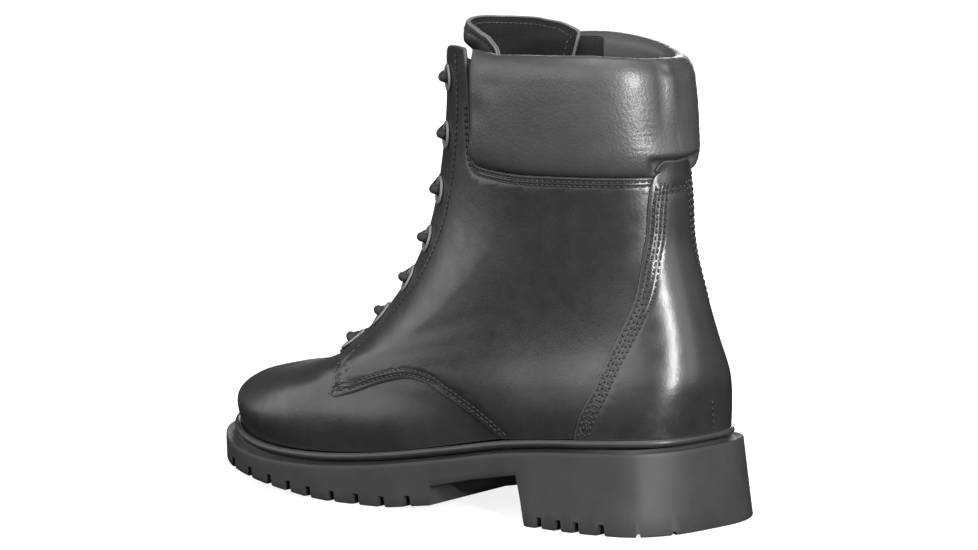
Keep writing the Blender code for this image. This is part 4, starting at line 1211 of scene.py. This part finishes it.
def make_rear():
    far = [(360 - u, v) for u, v in REAR_EDGE[::-1]]
    top = curve([REAR_EDGE[-1], (164, 0.772), (168, 0.79), (180, 0.793), (192, 0.79),
                 (196, 0.772), far[0]])
    base = [(u, 0.0) for u in np.linspace(226, 134, 50)]
    loop = corner_line(REAR_EDGE, top, far, base)
    rows = []
    for side in (-1, 1):
        for distance in REAR_ROWS:
            row = shifted(mirrored(REAR_EDGE, side), -distance * side)
            rows.append(row[(row[:, 1] > ROW_START_V) & (row[:, 1] < 0.742)])
    for v in (0.722, 0.733):
        rows.append(np.array([(u, v) for u in np.linspace(166, 194, 16)]))
    rows.append(curve([(178, 0.012), (178.5, 0.05), (179, 0.1)]))
    grooves = [np.stack([row[:, 0] % 360, row[:, 1]], -1) for row in rows]
    skin("rear_panel_leather", loop, rear_top, THIN, [LEATHER, EDGE], "leather",
         grooves=grooves, replaces=["rear_panel"])
    sewn("rear_panel_stitching", grooves, rear_top)


# The roll's section, as (share of the collar's height, depth).
COLLAR_PROFILE = [(-0.04, -3.0), (-0.01, -2.5), (0.006, -1.2), (0.022, 0.0), (0.05, 1.3),
                  (0.1, 2.2), (0.18, 2.8), (0.38, 3.1), (0.6, 2.9), (0.78, 2.3), (0.9, 1.3),
                  (0.985, -0.6), (1.035, -3.0), (1.05, -5.2), (1.035, -7.4), (0.985, -9.1),
                  (0.9, -9.9), (0.6, -10.1), (0.3, -9.9), (-0.04, -9.4)]
COLLAR_TALL, COLLAR_TOP_V = 42.0, 0.985
COLLAR_START_U, COLLAR_TURN = 69, 222
CLOSING = 0.022     # the share of the way round in which the roll closes at each end
DENTS = [  # depth, angle, width, height, length
    (0.6, -66, 6, 22, 5),
    (0.45, -74, 7, 33, 4),
    (0.4, 70, 8, 20, 7),
]
LIFT_U = [-180, -165, -150, -128, -100, -84, -72, -62, -53, 53, 75, 95, 120, 150, 180]
LIFT = [2.6, 2.8, 3.0, 2.6, 0.4, -0.6, -1.4, -0.4, 1.6, 3.2, 3.2, 1.8, 0.2, 0.8, 2.6]


def collar_relief(u, t):
    """Dents, creases and fine wrinkles of the collar's outer face, in millimetres outward."""
    side = signed(u)
    rear = np.abs(side)
    high = t * COLLAR_TALL
    swell = 0.3 * np.sin(side * 0.085 + 0.8) * np.sin(t * 4.4 + 0.4)
    wrinkle = 0.17 * np.sin(high * 2.3 + 0.9 * np.sin(side * 0.16) + 0.02 * side)
    wrinkle = wrinkle * bell((rear - 160) / 11) * ease((t - 0.06) / 0.12) * ease((0.9 - t) / 0.2)
    wrinkle = wrinkle * (0.55 + 0.45 * np.sin(side * 0.33 + high * 0.21))
    dents = 0.0
    for deep, at_u, wide, at_high, tall in DENTS:
        dents = dents - deep * bell((side - at_u) / wide) * bell((high - at_high) / tall)
    # The pinched crease at the top of the rear: how far round from it, and below the top.
    across = ((side + 356) % 360 - 180) * 0.75
    down = COLLAR_TALL - high
    crease = -1.2 * bell((down - 2.4 + across * 0.12) / 1.3)
    crease = crease * ease((across + 20) / 10) * (1 - ease((across + 1) / 4))
    pinch = 0.9 * bell((across + 2.5) / 3.0) * ease((22 - down) / 14)
    pinch = pinch - 0.9 * bell((across - 4) / 3.2) * ease((30 - down) / 16)
    belly = 1.9 * bell((t - 0.2) / 0.17) - 1.0 * ease((t - 0.5) / 0.3)
    return swell + wrinkle + dents + crease + pinch + belly * bell((180 - rear) / 24)


def collar_height(share, t):
    """Where a share of the collar's height lies on the last, at a share of the way round."""
    foot = float(collar_foot(COLLAR_START_U + COLLAR_TURN * share)) + 0.006
    return foot + (COLLAR_TOP_V - foot) * t


def collar_around(share, v, setback):
    """The angle of a share of the way round, between front edges that are set back."""
    front = through(v, COLLAR_FRONT_V, COLLAR_FRONT_U) + setback
    return front + (360 - 2 * front) * share


def collar_points(u, v, t, depth):
    """Points of the collar. Its top is higher than the last's, for its shape when worn in."""
    place = on_last(u, v, depth)
    place[:, 2] += np.interp(signed(u), LIFT_U, LIFT) * ease((t - 0.45) / 0.5)
    return place


def collar_ring(profile, share):
    """The roll's section at a share of the way round, closed to a blunt point at its ends."""
    closing = np.clip(min(share, 1 - share) / CLOSING, 0, 1)
    full = math.sqrt(1 - (1 - closing) ** 2)
    t, depth = profile[:, 0], profile[:, 1]
    v = collar_height(share, t)
    u = collar_around(share, v, 1.2 + 2.4 * ease((v - 0.81) / 0.05))
    outer = ease((depth + 4) / 3)
    depth = depth + collar_relief(u, t) * outer * ease(full)
    tuck = ease((np.abs(signed(u)) - 158) / 6) * (1 - ease((t - 0.15) / 0.07)) * outer
    depth = depth - tuck * np.maximum(depth + 0.4, 0)
    depth = -2.4 + (depth + 2.4) * (0.10 + 0.90 * full)
    return collar_points(u, v, t, depth)


def make_collar():
    """The padded collar: one stuffed roll of soft leather, and the cloth inside it."""
    tall = np.array([COLLAR_TALL, 1.0])
    line = smooth_line(np.array(COLLAR_PROFILE), 1.1, tall)
    bottom = np.linspace(line[-1], line[0], 9)[1:-1]
    profile = np.concatenate([line, bottom])
    ends = CLOSING * (1 - np.cos(np.linspace(0, math.pi / 2, 9)))
    shares = np.concatenate([ends, np.linspace(0.026, 0.974, 230), 1 - ends[::-1]])
    made = sweep("collar_roll", [collar_ring(profile, share) for share in shares], [SOFT],
                 "soft_leather", replaces=["collar", "collar_foam"])
    cloth = np.array([(-0.02, -9.5), (0.2, -10.0), (0.5, -10.3), (0.62, -10.3), (0.63, -10.9),
                      (0.5, -11.1), (0.2, -10.9), (-0.02, -10.5)])
    rings = []
    for share in np.linspace(0.008, 0.992, 160):
        end = 1 - ease((min(share, 1 - share) * 245 - 20) / 2)
        t = cloth[:, 0] * (1 + 0.6 * end)
        v = collar_height(share, t)
        u = collar_around(share, v, 2.2)
        rings.append(collar_points(u, v, t, cloth[:, 1] + 0.7 * ease((t - 0.8) / 0.16)))
    sweep("collar_cloth", rings, [LINING], "lining", replaces=["collar_lining"])


# ---------------------------------------------------------------- the tongue

def tongue_depth(u, v):
    """The tongue lies under the lace, tucks its wings behind the collar, and flares at its top."""
    side = np.abs(u)
    wing = -1.6 * ease((side - 44) / 7) * ease((v - 0.70) / 0.08)
    front = 1 - ease((side - 20) / 30)
    flare = (6.6 * ease((v - 0.98) / 0.035) - 1.5 * ease((v - 1.025) / 0.04)) * front
    tips = np.where(u > 0, 2.6, 0.4) * ease((v - 0.995) / 0.025) * (1 - front)
    return TONGUE_OUT + wing + flare + tips


def make_tongue():
    medial = curve(TONGUE_SIDE + TONGUE_MEDIAL)
    lateral = mirrored(curve(TONGUE_SIDE + TONGUE_LATERAL), -1)
    root = 0.385
    flank = curve([(24, root), (25, 0.4), TONGUE_SIDE[0]])
    base = [(u, root) for u in np.linspace(-24, 24, 30)]
    full = corner_line(flank, medial, lateral[::-1], mirrored(flank[::-1], -1), base)
    scaled = full * UV_SCALE

    def swell(u, v):
        return ease(line_distance(np.stack([u, v], -1) * UV_SCALE, scaled, True) / 7.5)

    def cloth_depth(u, v):
        return tongue_depth(u, v) - 1.25 - 3.4 * swell(u, v)

    whole = np.concatenate([medial[medial[:, 1] > 0.8], lateral[lateral[:, 1] > 0.8][-2::-1]])
    row = shifted(whole, 4.0, rounder=1.0)
    made = skin("tongue_leather_face", full, tongue_depth, 1.2, [TONGUE, PALE_EDGE], "soft_leather",
                rounder=1.0, bevel=0.4, grooves=[row], body=None, replaces=["tongue"])
    cloth = skin("tongue_cloth", full, cloth_depth, 0.8, [LINING, LINING, PALE_EDGE], "lining",
                 rounder=1.0, bevel=0.3, body=None, replaces=["tongue_lining"])
    rows = sewn("tongue_stitching", [row], tongue_depth, 1.0, None, 0.2)
    inner = sewn("tongue_cloth_stitching", [row], cloth_depth, 1.0, None, 0.75)
    low, up = on_last(np.zeros(2), np.array([0.39, 0.46]), np.full(2, -12.0), 1.0)
    for one in (made, cloth):
        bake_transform(one)
    for one in (rows, inner):
        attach(one, "tongue_flap")


# ---------------------------------------------------------------- eyelets and lace

# An eyelet's section, as (radius, height over the leather).
EYELET_PROFILE = [(3.3, -4.2), (3.7, -4.2), (3.7, 0.1), (6.2, 0.1), (6.5, 0.35), (6.45, 0.65),
                  (6.1, 0.95), (5.5, 1.15), (4.8, 1.1), (4.2, 0.7), (3.75, 0.0), (3.45, -1.0),
                  (3.3, -2.2)]


def make_eyelets():
    angles = np.arange(40) * math.tau / 40
    for side, word in ((-1, "lateral"), (1, "medial")):
        for i, v in enumerate(EYELET_V):
            u = np.array([side * EYELET_U])
            place, normal = last_point(u, v)[0], last_normal(u, v)[0]
            place = place + normal * float(quarter_top(u, np.array([v]))[0])
            e1 = np.cross(normal, [0, 1, 0])
            e1 /= np.linalg.norm(e1)
            e2 = np.cross(normal, e1)
            rings = [[place + (math.cos(a) * e1 + math.sin(a) * e2) * r + normal * h
                      for r, h in EYELET_PROFILE] for a in angles]
            sweep(f"eyelet_ring_{word}_{i + 1}", rings, [PAINT], "eyelet_metal", closed_path=True,
                  sharp=50, replaces=[f"eyelet_{word}_{i + 1}"])


PLIES, BRAID_TURN = 4, 9.0     # plies each way, and the length in which one goes once round


def rounded(points, radius):
    """A path with its corners rounded."""
    points = np.asarray(points, float)
    line = [points[0]]
    for before, corner, after in zip(points, points[1:], points[2:]):
        a, b = before - corner, after - corner
        reach_a = min(radius, np.linalg.norm(a) / 2)
        reach_b = min(radius, np.linalg.norm(b) / 2)
        start = corner + a / np.linalg.norm(a) * reach_a
        end = corner + b / np.linalg.norm(b) * reach_b
        for t in np.linspace(0, 1, 7):
            line.append((1 - t) ** 2 * start + 2 * t * (1 - t) * corner + t**2 * end)
    line.append(points[-1])
    line = np.array(line)
    return line[np.concatenate([[True], gaps(line) > 0.05])]


def strand(side):
    """Half of the lace: from the middle of the bottom bar up, then down behind the facing."""
    ends = [on_last(s * THROAT_U, EYELET_V[0], LACE_IN).ravel() for s in (-1, 1)]
    path = [(ends[0] + ends[1]) / 2 + last_normal(0.0, EYELET_V[0]).ravel() * BAR_RISE]
    top = len(EYELET_V) - 1
    for i in range(top + 1):
        u, v = side * EYELET_U, EYELET_V[i]
        place, normal = last_point(u, v).ravel(), last_normal(u, v).ravel()
        path += [place + normal * LACE_IN, place + normal * LACE_OUT]
        rise = EYELET_V[i + 1] - EYELET_V[i] if i < top else TUCK_RISE
        over = on_last(side * (THROAT_U - 2.4), v + 0.02 * rise, 1.4).ravel()
        under = on_last(-side * (THROAT_U - 2.4), v + 0.8 * rise, LACE_IN).ravel()
        front = last_normal(0.0, v + 0.5 * rise).ravel()
        order = side * (1 if i % 2 else -1)
        path += [over, (over + under) / 2 + front * CROSS_OFF * order, under]
        side = -side
    path.append(on_last(side * TUCK_U, TUCK_V, LACE_IN).ravel())
    path += [on_last(side * TAIL_U, v, LACE_IN).ravel() for v in TAIL_V]
    return [np.asarray(p, float) for p in path]


def make_lace():
    """One lace through all the eyelets, with the braid's plies crossing on its face."""
    lateral, medial = strand(-1), strand(1)
    path = rounded([*lateral[::-1], *medial[1:]], BEND)
    along = run(path)
    t = np.arange(0, along[-1], 0.5)
    path = np.stack([np.interp(t, along, path[:, k]) for k in range(3)], -1)
    ahead = units(np.gradient(path, axis=0))
    side = np.cross(ahead[0], [0.3, 0.2, 1.0])
    frames = []
    for direction in ahead:
        side = side - direction * (side @ direction)
        side /= np.linalg.norm(side)
        frames.append(side)
    frames = np.array(frames)
    other = np.cross(ahead, frames)
    turn = np.arange(18) * math.tau / 18
    twist = t[:, None] * math.tau / BRAID_TURN
    ply = np.maximum(np.sin(PLIES * turn + PLIES * twist), np.sin(PLIES * turn - PLIES * twist))
    radius = LACE_THICK / 2 * (0.93 + 0.08 * ply)
    rings = (path[:, None] + (np.cos(turn) * radius)[..., None] * frames[:, None]
             + (np.sin(turn) * radius)[..., None] * other[:, None])
    sweep("lace_braid", rings, [BRAID], "lace", replaces=["lace"])


make_stage()
place_camera()
make_outsole()
make_welt()
make_footbed()
make_vamp()
for word, side in (("lateral", -1), ("medial", 1)):
    make_quarter(word, side)
    make_facing(word, side)
    make_quarter_lining(word, side)
make_rear()
make_collar()
make_tongue()
make_eyelets()
make_lace()

HIDDEN = {"cork_filler": CORK, "shank": STEEL, "insole_board": BOARD, "toe_puff": STIFF,
          "heel_counter": STIFF, "tongue_foam": FOAM, "tongue_base": TONGUE,
          "aglet_lateral": PLASTIC, "aglet_medial": PLASTIC}
for name, finish in HIDDEN.items():
    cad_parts[name].material_slots[0].material = finish

bpy.context.view_layer.update()
